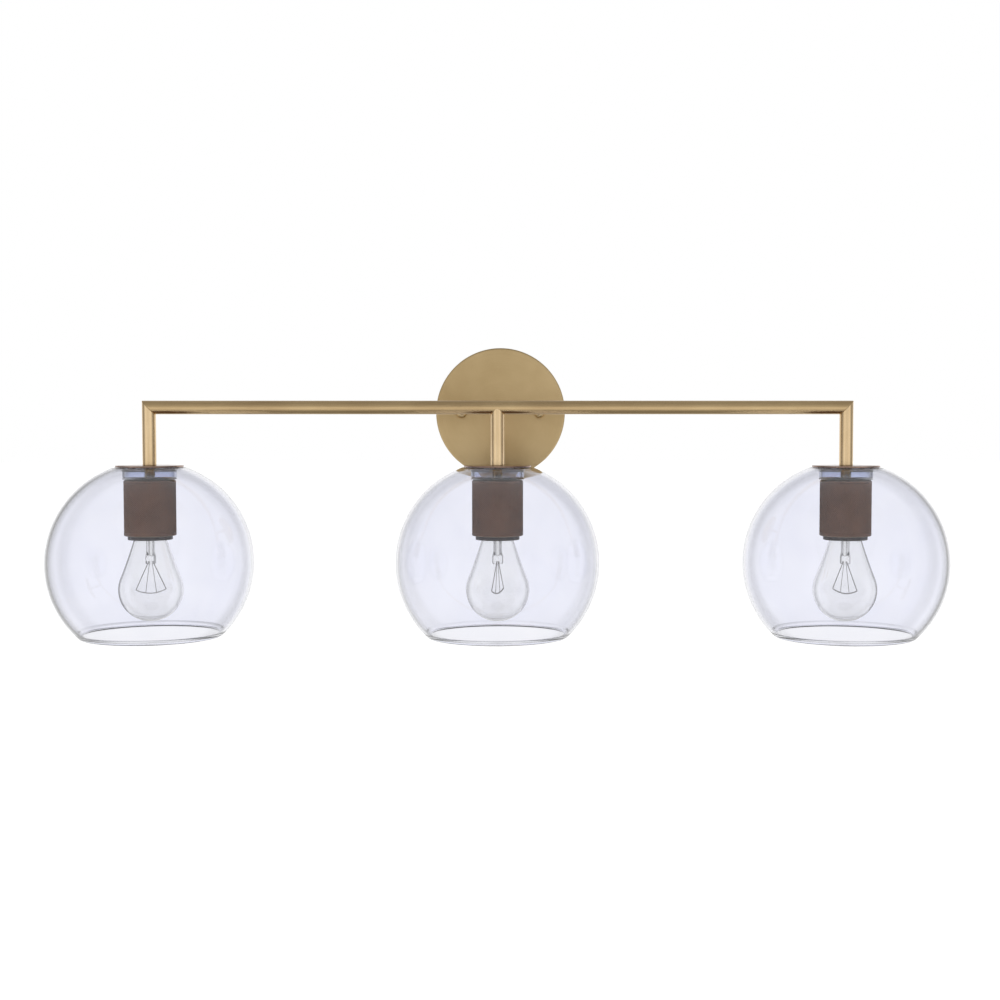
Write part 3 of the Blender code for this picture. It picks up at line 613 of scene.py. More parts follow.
def swept(path, radius, columns=10, away=(1, 1, 1)):
    """A round wire along a path: a ring square to the path at each point, and a pole at each end."""
    side, up = square_to(path, away)
    angle = np.linspace(0, math.tau, columns, endpoint=False)[None, :, None]
    ring = side[:, None] * np.cos(angle) - up[:, None] * np.sin(angle)
    pole = np.zeros((1, columns, 3))
    return faces_on(np.concatenate([path[:1, None] + pole, path[:, None] + ring * radius,
                                    path[-1:, None] + pole]))


def bent_route(corners, bend, step):
    """Straight runs joined by quadratic curves that leave each inner corner's runs a bend away, read at
    equal steps along the whole length."""
    spots = np.array(corners, float)
    t = np.linspace(0, 1, 12)[:, None]
    route = [spots[:1]]
    for before, spot, after in zip(spots, spots[1:], spots[2:]):
        start = spot + (before - spot) / np.linalg.norm(before - spot) * bend
        end = spot + (after - spot) / np.linalg.norm(after - spot) * bend
        route.append(start * (1 - t) ** 2 + spot * 2 * t * (1 - t) + end * t ** 2)
    route = np.vstack(route + [spots[-1:]])
    travelled = np.concatenate([[0], np.cumsum(np.linalg.norm(np.diff(route, axis=0), axis=1))])
    even = np.linspace(0, travelled[-1], int(travelled[-1] / step) + 1)
    return np.stack([np.interp(even, travelled, axis) for axis in route.T], axis=-1), even


def lead_pair(side, direction, finish):
    """Two wires at opposite sides of the route, turning round it once in each twist length."""
    low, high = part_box("lead_pair_" + side)
    bar, lamp_x = middle("crossbar"), middle("drop_tube_" + side).x
    pair = bar.y - low.y
    arm_x = {-1: high.x - pair, 0: 0.0, 1: low.x + pair}[direction]
    tail_y, run_z = high.y - pair, high.z - pair
    corners = [(arm_x, tail_y, run_z - LEAD_TAIL), (arm_x, tail_y, run_z), (arm_x, bar.y, run_z)]
    if direction:
        corners.append((lamp_x, bar.y, run_z))
    corners.append((lamp_x, bar.y, low.z))
    route, along = bent_route(corners, LEAD_BEND, LEAD_STEP)
    across, up = square_to(route, (1, 1, 1))
    turn = (along / LEAD_TWIST * math.tau)[:, None]
    shift = (across * np.cos(turn) + up * np.sin(turn)) * pair / 2
    make_piece("lead_pair_twisted_" + side, "root", finish, "lead_insulation", "lead_pair_" + side,
               swept(route + shift, pair / 2), swept(route - shift, pair / 2))


braid = sheathing("braided_sheath", SHEATH, SHEATH_AGED)
for side, direction in LAMPS.items():
    lead_pair(side, direction, braid)

# --------------------------------------------------
# Cap discs. A thin turned disc closes the top of each globe. It is polished and plated a dark bronze,
# with a bright eased edge.
# --------------------------------------------------
DISC_EDGE = 0.0005
DISC_STEP = 0.004
DISC_LIGHT = (0.46, 0.32, 0.255)
DISC_DARK = (0.20, 0.13, 0.105)


def upright(node):
    """Where an upright piece's foot stands on its axis, its radius and its height."""
    low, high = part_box(node)
    axis = middle(node)
    return Vector((axis.x, axis.y, low.z)), (high.x - low.x) / 2, high.z - low.z


for side in LAMPS:
    foot, radius, thick = upright("cap_disc_" + side)
    ring = stepped(ring_outline(ROUND_NIPPLE, radius, thick, KEEN_EDGE, DISC_EDGE, 7), DISC_STEP)
    bronze = brushed_metal("polished_bronze_" + side, DISC_LIGHT, DISC_DARK, (1800, 1800, 0),
                           (0.12, 0.24), tuple(middle("cap_disc_" + side)), 0.04, 30.0)
    make_piece("cap_disc_bronze_" + side, "root", bronze, "dark_bronze_polished", "cap_disc_" + side,
               spun(ring[:-1], foot, columns=160))

# --------------------------------------------------
# Lamp nipples and nuts. A hollow threaded brass nipple joins each drop tube to its lampholder, and a
# thin hexagon nut on it clamps the cap disc against the tube.
# --------------------------------------------------
for side in LAMPS:
    threaded_nipple("nipple_brass_" + side, "nipple_" + side, *upright("nipple_" + side), UPRIGHT)
    low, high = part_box("nipple_nut_" + side)
    foot, _, thick = upright("nipple_nut_" + side)
    hexagon_nut("nipple_nut_brass_" + side, "nipple_nut_" + side, foot, high.y - low.y, thick, UPRIGHT)

# --------------------------------------------------
# Lampholder bodies. Black moulded phenolic, threaded outside for the sleeve, with a chamber for the
# terminals above a web and a flared mouth for the bulb's neck.
# --------------------------------------------------
SLEEVE_PITCH = 0.002
BODY_THREAD_DEPTH = 0.0006
BODY_LIP = 0.0042
CHAMBER_RADIUS = 0.012
CHAMBER_CEILING = 0.0035
FLARE_RADIUS = 0.0173
FLARE_HEIGHT = 0.010
CONTACT_HOLE = 0.0025
RIVET_HEAD = 0.0018
PHENOLIC = (0.020, 0.017, 0.016)
PHENOLIC_BROWN = (0.052, 0.036, 0.028)


def moulded(name, dark, light, gloss):
    """Moulded plastic, rubber or pressed glass: faint flow marks and a fine pitted skin."""
    made, tree, shader, where = start_finish(name, {})
    flow = noise(tree, where, 90.0, 5.0, Distortion=1.2)
    dress(tree, shader, blend_colours(tree, spread(tree, flow, 0, 1), dark, light),
          spread(tree, flow, *gloss), noise(tree, where, 1500.0, 3.0), 0.1)
    return made


def lampholder(side, finish):
    """The moulding turned as one ring, with its outer thread cut by a helix above the plain lip."""
    foot, radius, top = upright("socket_body_" + side)
    bore = upright("screw_shell_" + side)[1] + FIT
    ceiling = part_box("screw_shell_" + side)[1].z + FIT - foot.z
    web_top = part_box("centre_contact_" + side)[1].z - foot.z - RIVET_HEAD
    chamber_top = top - CHAMBER_CEILING
    outline = eased([(ROUND_NIPPLE, top - 0.001, 0), (ROUND_NIPPLE, top, SOFT_EDGE), (radius, top, 0.0008),
                     (radius, 0, 0.0006), (FLARE_RADIUS, 0, 0.0005), (bore, FLARE_HEIGHT, 0.003),
                     (bore, ceiling, 0.0004), (CONTACT_HOLE, ceiling, DULL_EDGE),
                     (CONTACT_HOLE, web_top, DULL_EDGE), (CHAMBER_RADIUS, web_top, 0.0008),
                     (CHAMBER_RADIUS, chamber_top, 0.0008), (ROUND_NIPPLE, chamber_top, DULL_EDGE),
                     (ROUND_NIPPLE, top - 0.001, 0)])
    cut = thread(SLEEVE_PITCH, BODY_THREAD_DEPTH, BODY_LIP, top, radius * 0.97)
    make_piece("lampholder_body_" + side, "root", finish, "black_phenolic", "socket_body_" + side,
               spun(stepped(outline, SLEEVE_PITCH / 4)[:-1], foot, columns=128, shape=cut))


phenolic = moulded("black_phenolic_moulding", PHENOLIC, PHENOLIC_BROWN, (0.28, 0.42))
for side in LAMPS:
    lampholder(side, phenolic)

# --------------------------------------------------
# Screw shells and centre contacts. The shell is drawn from brass sheet and rolled with the lamp
# thread, and a riveted brass contact with a sprung cup meets the bulb's tip.
# --------------------------------------------------
LAMP_PITCH = 0.003629
LAMP_THREAD = 0.00055
SHEET = 0.0005
SHELL_FLANGE = 0.0075
RIVET_RADIUS = 0.0022


def screw_shell(side):
    """A thin cup whose wall waves in and out along one helix, with an inward flange at its closed end."""
    foot, radius, height = upright("screw_shell_" + side)
    outline = eased([(SHELL_FLANGE, height - SHEET / 2, 0), (SHELL_FLANGE, height, KEEN_EDGE),
                     (radius, height, 0.0009), (radius, 0, KEEN_EDGE), (radius - SHEET, 0, KEEN_EDGE),
                     (radius - SHEET, height - SHEET, 0.0005), (SHELL_FLANGE, height - SHEET, KEEN_EDGE),
                     (SHELL_FLANGE, height - SHEET / 2, 0)])
    rolled = thread(LAMP_PITCH, LAMP_THREAD, 0, height, radius * 0.9)
    make_piece("screw_shell_brass_" + side, "root", yellow_brass, "yellow_brass", "screw_shell_" + side,
               spun(stepped(outline, LAMP_PITCH / 8)[:-1], foot, shape=rolled))


def centre_contact(side):
    """A rivet through the web with a dished cup below that narrows to the tip."""
    foot, dish, height = upright("centre_contact_" + side)
    stem, head = RIVET_RADIUS, RIVET_RADIUS * 1.6
    cup_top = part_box("screw_shell_" + side)[1].z - foot.z
    web = height - stem * 0.8
    outline = eased([(0, height, 0), (head, height, 0.0006), (head, web, DULL_EDGE), (stem, web, KEEN_EDGE),
                     (stem, cup_top, KEEN_EDGE), (dish, cup_top, DULL_EDGE),
                     (dish, cup_top - SHEET, DULL_EDGE), (stem, 0, 0.0008), (0, 0, 0)])
    make_piece("centre_contact_brass_" + side, "root", yellow_brass, "yellow_brass",
               "centre_contact_" + side, spun(outline, foot, columns=48, ends_meet=False))


for side in LAMPS:
    screw_shell(side)
    centre_contact(side)

# --------------------------------------------------
# Glass globes. Blown clear glass, cut open below and fire-polished to a round rim. At the top the
# glass is flat under the disc and turns down inside as a short collar round the lampholder.
# --------------------------------------------------
GLASS_WALL = 0.0028
RIM_BEAD = 0.0022
RIM_WEDGE = math.radians(19)
SHOULDER_RADIUS = 0.033
PASSAGE = 0.022
COLLAR_DEPTH = 0.0101
PAINTED_SHADE_FULL_WITHIN = 0.0255
PAINTED_SHADE_GONE_BEYOND = 0.036
SECTION_POINTS = 84
RIM_POINTS = 16
GLOBE_TINT = (0.942, 0.947, 0.995)
GLOBE_TINT_DEEP = (0.915, 0.922, 0.982)
# Painted shade: the deeper blue-grey given to the collar's glass near the axis.
COLLAR_PAINTED_SHADE = (0.70, 0.74, 0.86)


def clear_glass(name, tint, deep, ripple, scale, axis=None):
    """Clear glass. Slow ripples from blowing bend what is seen through it, and its tint deepens a little
    where the glass is thicker. Where an axis is given, the glass round it is painted a deeper blue-grey:
    painted shade for the dark band that refraction and shadow make in the collar."""
    made, tree, shader, where = start_finish(name, {"Transmission Weight": 1.0, "IOR": 1.5})
    waves = noise(tree, where, scale, 2.0, Distortion=0.6)
    colour = blend_colours(tree, spread(tree, waves, 0, 1), tint, deep)
    # Painted shade: near the axis the glass colour blends to a deeper blue-grey.
    if axis is not None:
        centred = add_node(tree, "VectorMath", {0: where, 1: (-axis.x, -axis.y, 0)}, operation="ADD")
        level = add_node(tree, "VectorMath", {0: centred.outputs["Vector"], 1: (1, 1, 0)},
                         operation="MULTIPLY")
        reach = add_node(tree, "VectorMath", {0: level.outputs["Vector"]}, operation="LENGTH")
        near = spread(tree, reach.outputs["Value"], 1, 0, PAINTED_SHADE_FULL_WITHIN, PAINTED_SHADE_GONE_BEYOND)
        colour = blend_colours(tree, near, colour, COLLAR_PAINTED_SHADE)
    dress(tree, shader, colour, spread(tree, noise(tree, where, scale * 3, 4.0), 0.0, 0.02),
          waves, ripple, 0.001)
    return made


def arc(centre, radius, start, end, count):
    """Corners on a circle round a (radius, height) spot, between two angles measured up from level."""
    return [(centre[0] + radius * math.cos(a), centre[1] + radius * math.sin(a), 0)
            for a in np.linspace(start, end, count)]


def glass_globe(side):
    """The glass's section turned round: collar, shoulder, outer sphere, round rim, inner sphere. The
    rim's bead runs on past half a turn, and a straight wedge joins it to the inner sphere."""
    low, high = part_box("glass_shade_" + side)
    axis, globe, top = middle("glass_shade_" + side), (high.x - low.x) / 2, high.z
    under, collar_end, inner = top - GLASS_WALL, top - COLLAR_DEPTH, globe - GLASS_WALL
    centre = top - math.sqrt(globe ** 2 - SHOULDER_RADIUS ** 2)
    bead_reach = globe - RIM_BEAD
    rim_angle = -math.asin((centre - low.z - RIM_BEAD) / bead_reach)
    bead = bead_reach * math.cos(rim_angle), centre + bead_reach * math.sin(rim_angle)
    last_angle = rim_angle - math.pi - RIM_WEDGE
    rim = arc(bead, RIM_BEAD, rim_angle, last_angle, RIM_POINTS)[1:]
    last = np.array(rim[-1][:2]) - (0, centre)
    ramp = np.array((math.sin(last_angle), -math.cos(last_angle)))
    reach = math.sqrt((last @ ramp) ** 2 - last @ last + inner ** 2) - last @ ramp
    meets = last + ramp * reach
    outer_start = math.acos(SHOULDER_RADIUS / globe) - 0.03
    inner_start = math.atan2(meets[1], meets[0]) + 0.02
    inner_end = math.asin((under - centre) / inner) - 0.05
    inner_shoulder = math.sqrt(inner ** 2 - (under - centre) ** 2)
    outline = [(PASSAGE, under - 0.001, 0), (PASSAGE, top, 0.0016), (SHOULDER_RADIUS, top, 0.0016)]
    outline += arc((0, centre), globe, outer_start, rim_angle, SECTION_POINTS)
    outline += rim + [(meets[0], meets[1] + centre, 0.0009)]
    outline += arc((0, centre), inner, inner_start, inner_end, SECTION_POINTS)
    outline += [(inner_shoulder, under, 0.0014), (PASSAGE + GLASS_WALL, under, 0.0014),
                (PASSAGE + GLASS_WALL, collar_end, 0.0011), (PASSAGE, collar_end, 0.0011),
                (PASSAGE, under - 0.001, 0)]
    glass = clear_glass("blown_clear_glass_" + side, GLOBE_TINT, GLOBE_TINT_DEEP, 0.02, 22.0, axis)
    make_piece("glass_globe_" + side, "shade_" + side, glass, "globe_glass", "glass_shade_" + side,
               spun(eased(outline, 7)[:-1], (axis.x, axis.y, 0), columns=192))


for side in LAMPS:
    glass_globe(side)

# --------------------------------------------------
# Soft rings. A thin dark silicone ring sits between the glass collar and the sleeve, so that metal
# never presses on glass.
# --------------------------------------------------
RING_BORE = 0.0209
SILICONE = (0.035, 0.035, 0.04)
SILICONE_DUSTY = (0.10, 0.10, 0.105)
silicone = moulded("dark_silicone", SILICONE, SILICONE_DUSTY, (0.6, 0.8))
for side in LAMPS:
    foot, outer, thick = upright("shade_gasket_" + side)
    ring = ring_outline(RING_BORE, outer, thick, SOFT_EDGE, SOFT_EDGE)
    make_piece("soft_ring_" + side, "shade_" + side, silicone, "silicone", "shade_gasket_" + side,
               spun(ring[:-1], foot, columns=128))

# --------------------------------------------------
# Knurled sleeves. Turned from brass, diamond-knurled for grip and plated a dark bronze. Each screws
# up the lampholder and clamps the globe; its bevelled ends are rubbed light, with a painted highlight on
# top.
# --------------------------------------------------
SLEEVE_WALL = 0.0031
SLEEVE_BEVEL = 0.0014
KNURL_DEPTH = 0.00055
KNURLS_ROUND = 68
KNURL_HEIGHT = 0.0018
KNURL_MARGIN = 0.0008
BRONZE_LIGHT = (0.205, 0.115, 0.076)
BRONZE_DARK = (0.110, 0.062, 0.042)
# Rubbed-through metal, made near-white as a painted highlight.
RUBBED_BRASS_AND_PAINTED_HIGHLIGHT = (0.98, 0.84, 0.66)


def bronze_rubbed_and_painted_highlight(name, low, high):
    """Dark bronze plating: cloudy and mottled, and rubbed through to lighter metal on its bevelled ends,
    where the height reaches the ends of the piece. The rubbed colour is near-white, a painted highlight that
    is strongest on the top bevel."""
    made, tree, shader, where = start_finish(name, {"Metallic": 1.0})
    grain = noise(tree, where, 1400.0, 3.0)
    both = combine(tree, "ADD", noise(tree, where, 60.0, 5.0), grain)
    plating = blend_colours(tree, spread(tree, both, 0, 1, 0.75, 1.25), BRONZE_DARK, BRONZE_LIGHT)
    height = add_node(tree, "SeparateXYZ", {"Vector": where}).outputs["Z"]
    # Painted highlight over real wear: the top bevel blends most of the way to near-white, the foot bevel
    # half way.
    top_wear_and_painted_highlight = spread(tree, height, 0.0, 0.85, high - SLEEVE_BEVEL, high - SLEEVE_BEVEL * 0.5)
    foot_wear_and_painted_highlight = spread(tree, height, 0.0, 0.5, low + SLEEVE_BEVEL * 0.4, low)
    # worn holds both the rubbed wear and the painted highlight of the two bevels.
    worn = combine(tree, "MAXIMUM", top_wear_and_painted_highlight, foot_wear_and_painted_highlight)
    dress(tree, shader, blend_colours(tree, worn, plating, RUBBED_BRASS_AND_PAINTED_HIGHLIGHT),
          spread(tree, both, 0.30, 0.48, 0.8, 1.2), grain, 0.08)
    return made


def knurled_sleeve(side):
    """A ring whose outer radius carries two families of crossing grooves. With a the angle in knurls and
    h the height in knurls, each groove is a V along a + h or a - h at every whole number, and the deeper
    of the two is cut. Rows and columns come four to a knurl, so grooves and peaks fall on the grid."""
    start, radius, length = upright("knurled_sleeve_" + side)
    bore, first = radius - SLEEVE_WALL, SLEEVE_BEVEL + KNURL_MARGIN
    cells = int((length - 2 * first) / KNURL_HEIGHT)
    knurl_low = (length - cells * KNURL_HEIGHT) / 2
    rows = np.arange(cells * 4 + 1) / 4 * KNURL_HEIGHT + knurl_low
    outer = np.stack([np.full(len(rows), radius), rows[::-1]], axis=-1)
    head = eased([(bore, length - 0.002, 0), (bore, length, 0.0004),
                  (radius - SLEEVE_BEVEL, length, SOFT_EDGE), (radius, length - SLEEVE_BEVEL, 0.0004),
                  (radius, length - first, 0)])
    foot = eased([(radius, first * 0.8, 0), (radius, SLEEVE_BEVEL / 2, SOFT_EDGE),
                  (radius - SLEEVE_BEVEL / 2, 0, SOFT_EDGE), (bore, 0, 0.0004), (bore, 0.002, 0)])
    inside = np.stack([np.full(30, bore), np.linspace(0.004, length - 0.004, 30)], axis=-1)

    def shape(angle, distance, height):
        around = angle / math.tau * KNURLS_ROUND
        up = (height - knurl_low) / KNURL_HEIGHT
        left, right = (np.abs((value + 0.5) % 1 - 0.5) * 2 for value in (around + up, around - up))
        depth = KNURL_DEPTH * (1 - np.minimum(left, right) ** 0.8)
        knurled = (distance > radius * 0.999) & (height > knurl_low) & (height < length - knurl_low)
        return distance - depth * knurled
    bronze = bronze_rubbed_and_painted_highlight("bronze_rubbed_and_painted_highlight_" + side, start.z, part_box("knurled_sleeve_" + side)[1].z)
    make_piece("sleeve_knurled_" + side, "sleeve_" + side, bronze, "dark_bronze", "knurled_sleeve_" + side,
               spun(np.vstack([head, outer, foot, inside]), start, columns=KNURLS_ROUND * 4, shape=shape))


for side in LAMPS:
    knurled_sleeve(side)

# --------------------------------------------------
# Bulb caps and insulators. The cap is thin nickel-plated sheet rolled with the lamp thread, and a
# button of black glass at its end carries a soldered contact.
# --------------------------------------------------
CAP_WALL = 0.0004
CAP_MOUTH = 0.0096
NICKEL = (0.74, 0.72, 0.68)
NICKEL_DULL = (0.52, 0.50, 0.47)
VITRITE = (0.012, 0.012, 0.018)
VITRITE_GREY = (0.045, 0.045, 0.055)


def bulb_cap(side, finish):
    """A thin sleeve waved in and out along the lamp thread, drawn in at the top round the insulator."""
    foot, radius, height = upright("bulb_cap_" + side)
    shoulder, inside = height - (radius - CAP_MOUTH), radius - CAP_WALL
    outline = eased([(CAP_MOUTH, height - CAP_WALL / 2, 0), (CAP_MOUTH + CAP_WALL, height, DULL_EDGE),
                     (radius, shoulder, 0.0016), (radius, 0, KEEN_EDGE), (inside, 0, KEEN_EDGE),
                     (inside, shoulder - CAP_WALL, 0.0014), (CAP_MOUTH, height - CAP_WALL, KEEN_EDGE),
                     (CAP_MOUTH, height - CAP_WALL / 2, 0)])
    rolled = thread(LAMP_PITCH, LAMP_THREAD, LAMP_PITCH * 1.2, shoulder)
    make_piece("bulb_cap_nickel_" + side, "bulb_" + side, finish, "bulb_cap_metal", "bulb_cap_" + side,
               spun(stepped(outline, LAMP_PITCH / 8)[:-1], foot, shape=rolled))


def bulb_insulator(side, finish):
    """A low cone of black glass that ends in a rounded solder button."""
    foot, radius, height = upright("bulb_insulator_" + side)
    outline = eased([(0, height, 0), (radius * 0.36, height, 0.0009),
                     (radius * 0.46, height - 0.0014, 0.0004), (radius, 0.001, 0.0005),
                     (radius, 0, DULL_EDGE), (0, 0, 0)], 7)
    make_piece("bulb_insulator_glass_" + side, "bulb_tip_" + side, finish, "black_glass",
               "bulb_insulator_" + side, spun(outline, foot, columns=64, ends_meet=False))


nickel = brushed_metal("nickel_plate", NICKEL, NICKEL_DULL, (200, 200, 3000), (0.2, 0.36))
vitrite = moulded("black_vitrite", VITRITE, VITRITE_GREY, (0.08, 0.2))
for side in LAMPS:
    bulb_cap(side, nickel)
    bulb_insulator(side, vitrite)

# --------------------------------------------------
# Bulb envelopes. Thin blown glass: a ball that runs up in one smooth curve to the neck, which is
# cemented inside the cap.
# --------------------------------------------------
BULB_WALL = 0.0008
BULB_BALL = 0.030
BULB_NECK = 0.0134
NECK_IN_CAP = 0.0122
SHOULDER_ANGLE = math.radians(22)
BULB_TINT = (1.0, 1.0, 0.99)
BULB_TINT_DEEP = (0.99, 0.99, 0.97)


def bulb_side(neck_height, centre, top, inset):
    """One side of the envelope's section, from inside the cap down to the bottom of the ball. The middle
    stretch is a cubic Hermite curve: it leaves the neck almost straight down and meets the ball along
    its tangent."""
    ball = BULB_BALL - inset
    join = ball * math.cos(SHOULDER_ANGLE), centre + ball * math.sin(SHOULDER_ANGLE)
    span = neck_height - join[1]
    t = np.linspace(0, 1, 40)[:-1]
    radius = ((2 * t ** 3 - 3 * t ** 2 + 1) * (BULB_NECK - inset) + (t ** 3 - 2 * t ** 2 + t) * 0.30 * span
              + (3 * t ** 2 - 2 * t ** 3) * join[0] + (t ** 3 - t ** 2) * math.tan(SHOULDER_ANGLE) * span)
    curve = np.stack([radius, neck_height - span * t], axis=-1)
    angle = np.linspace(SHOULDER_ANGLE, -math.pi / 2, 48)
    round_end = np.stack([ball * np.cos(angle), centre + ball * np.sin(angle)], axis=-1)
    round_end[-1, 0] = 0
    tuck = np.array([(NECK_IN_CAP - inset, top), (NECK_IN_CAP - inset, neck_height + 0.0006)])
    return np.vstack([tuck, curve, round_end])


def bulb_envelope(side, finish):
    """Outer and inner side joined at the neck, closed by a pole on each side at the bottom."""
    low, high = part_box("bulb_glass_" + side)
    axis = middle("bulb_glass_" + side)
    neck_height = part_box("bulb_cap_" + side)[0].z - FIT
    outer, inner = (bulb_side(neck_height, low.z + BULB_BALL, high.z, inset) for inset in (0, BULB_WALL))
    make_piece("bulb_envelope_" + side, "bulb_" + side, finish, "bulb_glass", "bulb_glass_" + side,
               spun(np.vstack([inner[::-1], outer]), (axis.x, axis.y, 0), columns=128, ends_meet=False))


bulb_glass = clear_glass("thin_bulb_glass", BULB_TINT, BULB_TINT_DEEP, 0.015, 45.0)
for side in LAMPS:
    bulb_envelope(side, bulb_glass)

# --------------------------------------------------
# Glass stems. A flare fused in the neck narrows to a hollow tube, whose end is pinched flat in the
# press that seals the wires. Each bulb stops at its own angle when it is screwed home.
# --------------------------------------------------
STEM_RADIUS = 0.004
STEM_BORE = 0.0017
FLARE_DROP = 0.0048
PRESS_HALF_WIDTH = 0.0052
PRESS_HALF_DEPTH = 0.0019
PRESS_LENGTH = 0.012
STEM_STEP = 0.0008
STEM_TURN = {"left": math.radians(38), "centre": math.radians(12), "right": math.radians(-35)}


def turned_about(points, axis, angle):
    """The points turned round the upright line through the axis."""
    cosine, sine = math.cos(angle), math.sin(angle)
    across = points[..., 0] - axis.x, points[..., 1] - axis.y
    return np.stack([axis.x + across[0] * cosine - across[1] * sine,
                     axis.y + across[0] * sine + across[1] * cosine, points[..., 2]], axis=-1)


def bulb_stem(side, finish):
    """The stem's section turned round, then squeezed: below the pinch its width grows to the press's and
    its depth shrinks to the press's, both along a smooth step of the height."""
    foot, flare, height = upright("bulb_stem_" + side)
    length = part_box("bulb_stem_" + side)[1].z - FLARE_DROP - foot.z
    bore_end = PRESS_LENGTH * 0.62
    outline = eased([(0, bore_end, 0), (STEM_BORE, bore_end + STEM_BORE, 0.0012),
                     (STEM_BORE, length - flare - 0.001, 0.002),
                     (flare - 0.002, length - 0.0012, 0.003), (flare - 0.001, length, 0.0004),
                     (flare, length, 0.0004), (flare, length - 0.0014, 0.0008),
                     (STEM_RADIUS, length - flare, 0.005), (STEM_RADIUS, 0, 0.0014), (0, 0, 0)], 9)
    points, faces = spun(stepped(outline, STEM_STEP), foot, columns=64, ends_meet=False)
    pinch = np.clip((foot.z + PRESS_LENGTH - points[:, 2]) / (PRESS_LENGTH * 0.45), 0, 1)
    pinch = pinch ** 2 * (3 - 2 * pinch)
    for along, half in ((0, PRESS_HALF_WIDTH), (1, PRESS_HALF_DEPTH)):
        squeeze = 1 + pinch * (half / STEM_RADIUS - 1)
        points[:, along] = foot[along] + (points[:, along] - foot[along]) * squeeze
    make_piece("bulb_stem_glass_" + side, "bulb_" + side, finish, "bulb_glass", "bulb_stem_" + side,
               (turned_about(points, foot, STEM_TURN[side]), faces))


stem_glass = clear_glass("stem_glass", BULB_TINT, BULB_TINT_DEEP, 0.03, 200.0)
for side in LAMPS:
    bulb_stem(side, stem_glass)

# --------------------------------------------------
# Filaments. Two stiff lead wires fan out of the press, two finer hooks stand between them, and a
# coiled tungsten wire hangs over their ends in a shallow arc.
# --------------------------------------------------
LEAD_WIRE = 0.0004
HOOK_WIRE = 0.00026
IN_PRESS = 0.003
LEAD_ROOT = 0.0018
HOOK_ROOT = 0.003
HOOK_SHARE = 0.36
COIL_RADIUS = 0.00045
COIL_WIRE = 0.00014
COIL_TURNS = 56
FILAMENT_SAG = 0.0035
FILAMENT_TURN = {"left": math.radians(24), "centre": math.radians(68), "right": math.radians(-48)}
TUNGSTEN = (0.34, 0.33, 0.32)
TUNGSTEN_DARK = (0.16, 0.15, 0.15)


def filament(side, finish):
    """Straight wires swept from the press to their tips, and a coil: a circle round the arc's own line,
    where the arc is a parabola over the span and the coil's angle grows evenly along it."""
    low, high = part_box("bulb_filament_" + side)
    axis = middle("bulb_filament_" + side)
    half = (high.x - low.x) / 2 - LEAD_WIRE
    top, end = high.z + IN_PRESS, low.z + FILAMENT_SAG + LEAD_WIRE
    t = np.linspace(0, 1, 24)[:, None]
    wires = []
    for share, root, thick, columns in ((-1, LEAD_ROOT, LEAD_WIRE, 8), (1, LEAD_ROOT, LEAD_WIRE, 8),
                                        (-HOOK_SHARE, HOOK_ROOT, HOOK_WIRE, 6),
                                        (HOOK_SHARE, HOOK_ROOT, HOOK_WIRE, 6)):
        start = np.array((share * root, 0, top))
        tip = np.array((half * share, 0, end - FILAMENT_SAG * (1 - share ** 2)))
        wires.append(swept(start + (tip - start) * t, thick, columns, (0, 1, 0)))
    along = np.linspace(-1, 1, COIL_TURNS * 10)
    turn = along * COIL_TURNS / 2 * math.tau
    coil = np.stack([half * along, COIL_RADIUS * np.cos(turn),
                     end - FILAMENT_SAG * (1 - along ** 2) + COIL_RADIUS * np.sin(turn)], axis=-1)
    wires.append(swept(coil, COIL_WIRE, 5, (1, 0, 0)))
    placed = [(turned_about(points + np.array((axis.x, axis.y, 0)), axis, FILAMENT_TURN[side]), faces)
              for points, faces in wires]
    make_piece("filament_" + side, "bulb_" + side, finish, "tungsten", "bulb_filament_" + side, *placed)


tungsten = brushed_metal("drawn_tungsten", TUNGSTEN, TUNGSTEN_DARK, (900, 900, 900), (0.3, 0.5))
for side in LAMPS:
    filament(side, tungsten)

# --------------------------------------------------
# Studio. A pale floor far below, soft boxes in front at both sides and low down, and a bright sheet
# behind the object. The camera stands level with the bar and looks down a little.
# --------------------------------------------------
FLOOR_DROP = 0.75
FLOOR_SIZE = 40.0
FLOOR_LIGHT = (0.93, 0.93, 0.93)
FLOOR_DARK = (0.90, 0.90, 0.90)
ROOM_BESIDE = ((0.0, 0.84), (0.3, 0.86), (0.6, 1.0), (0.76, 1.0), (0.93, 0.5), (1.0, 0.30))
ROOM_UPWARDS = ((0.0, 0.30), (0.10, 0.40), (0.24, 0.95), (0.50, 0.95), (0.64, 0.60), (1.0, 0.40))
GLASS_ROUND = ((0.0, 0.92), (0.75, 0.92), (0.82, 0.20), (0.90, 0.20), (0.965, 1.0), (1.0, 1.0))
GLASS_BESIDE = ((0.0, 0.85), (0.14, 1.0), (0.40, 1.0), (0.66, 0.76), (0.90, 1.0), (1.0, 1.0))
ROOM_STRENGTH = 1.2
EYE_DISTANCE = 1.403
EYE_HEIGHT = -0.0177
EYE_SIDE = 0.0425
EYE_PITCH = math.radians(-2.81)
EYE_TURN = math.radians(0.18)
EYE_LENS = 53.96
EYE_SHIFT = -0.0382


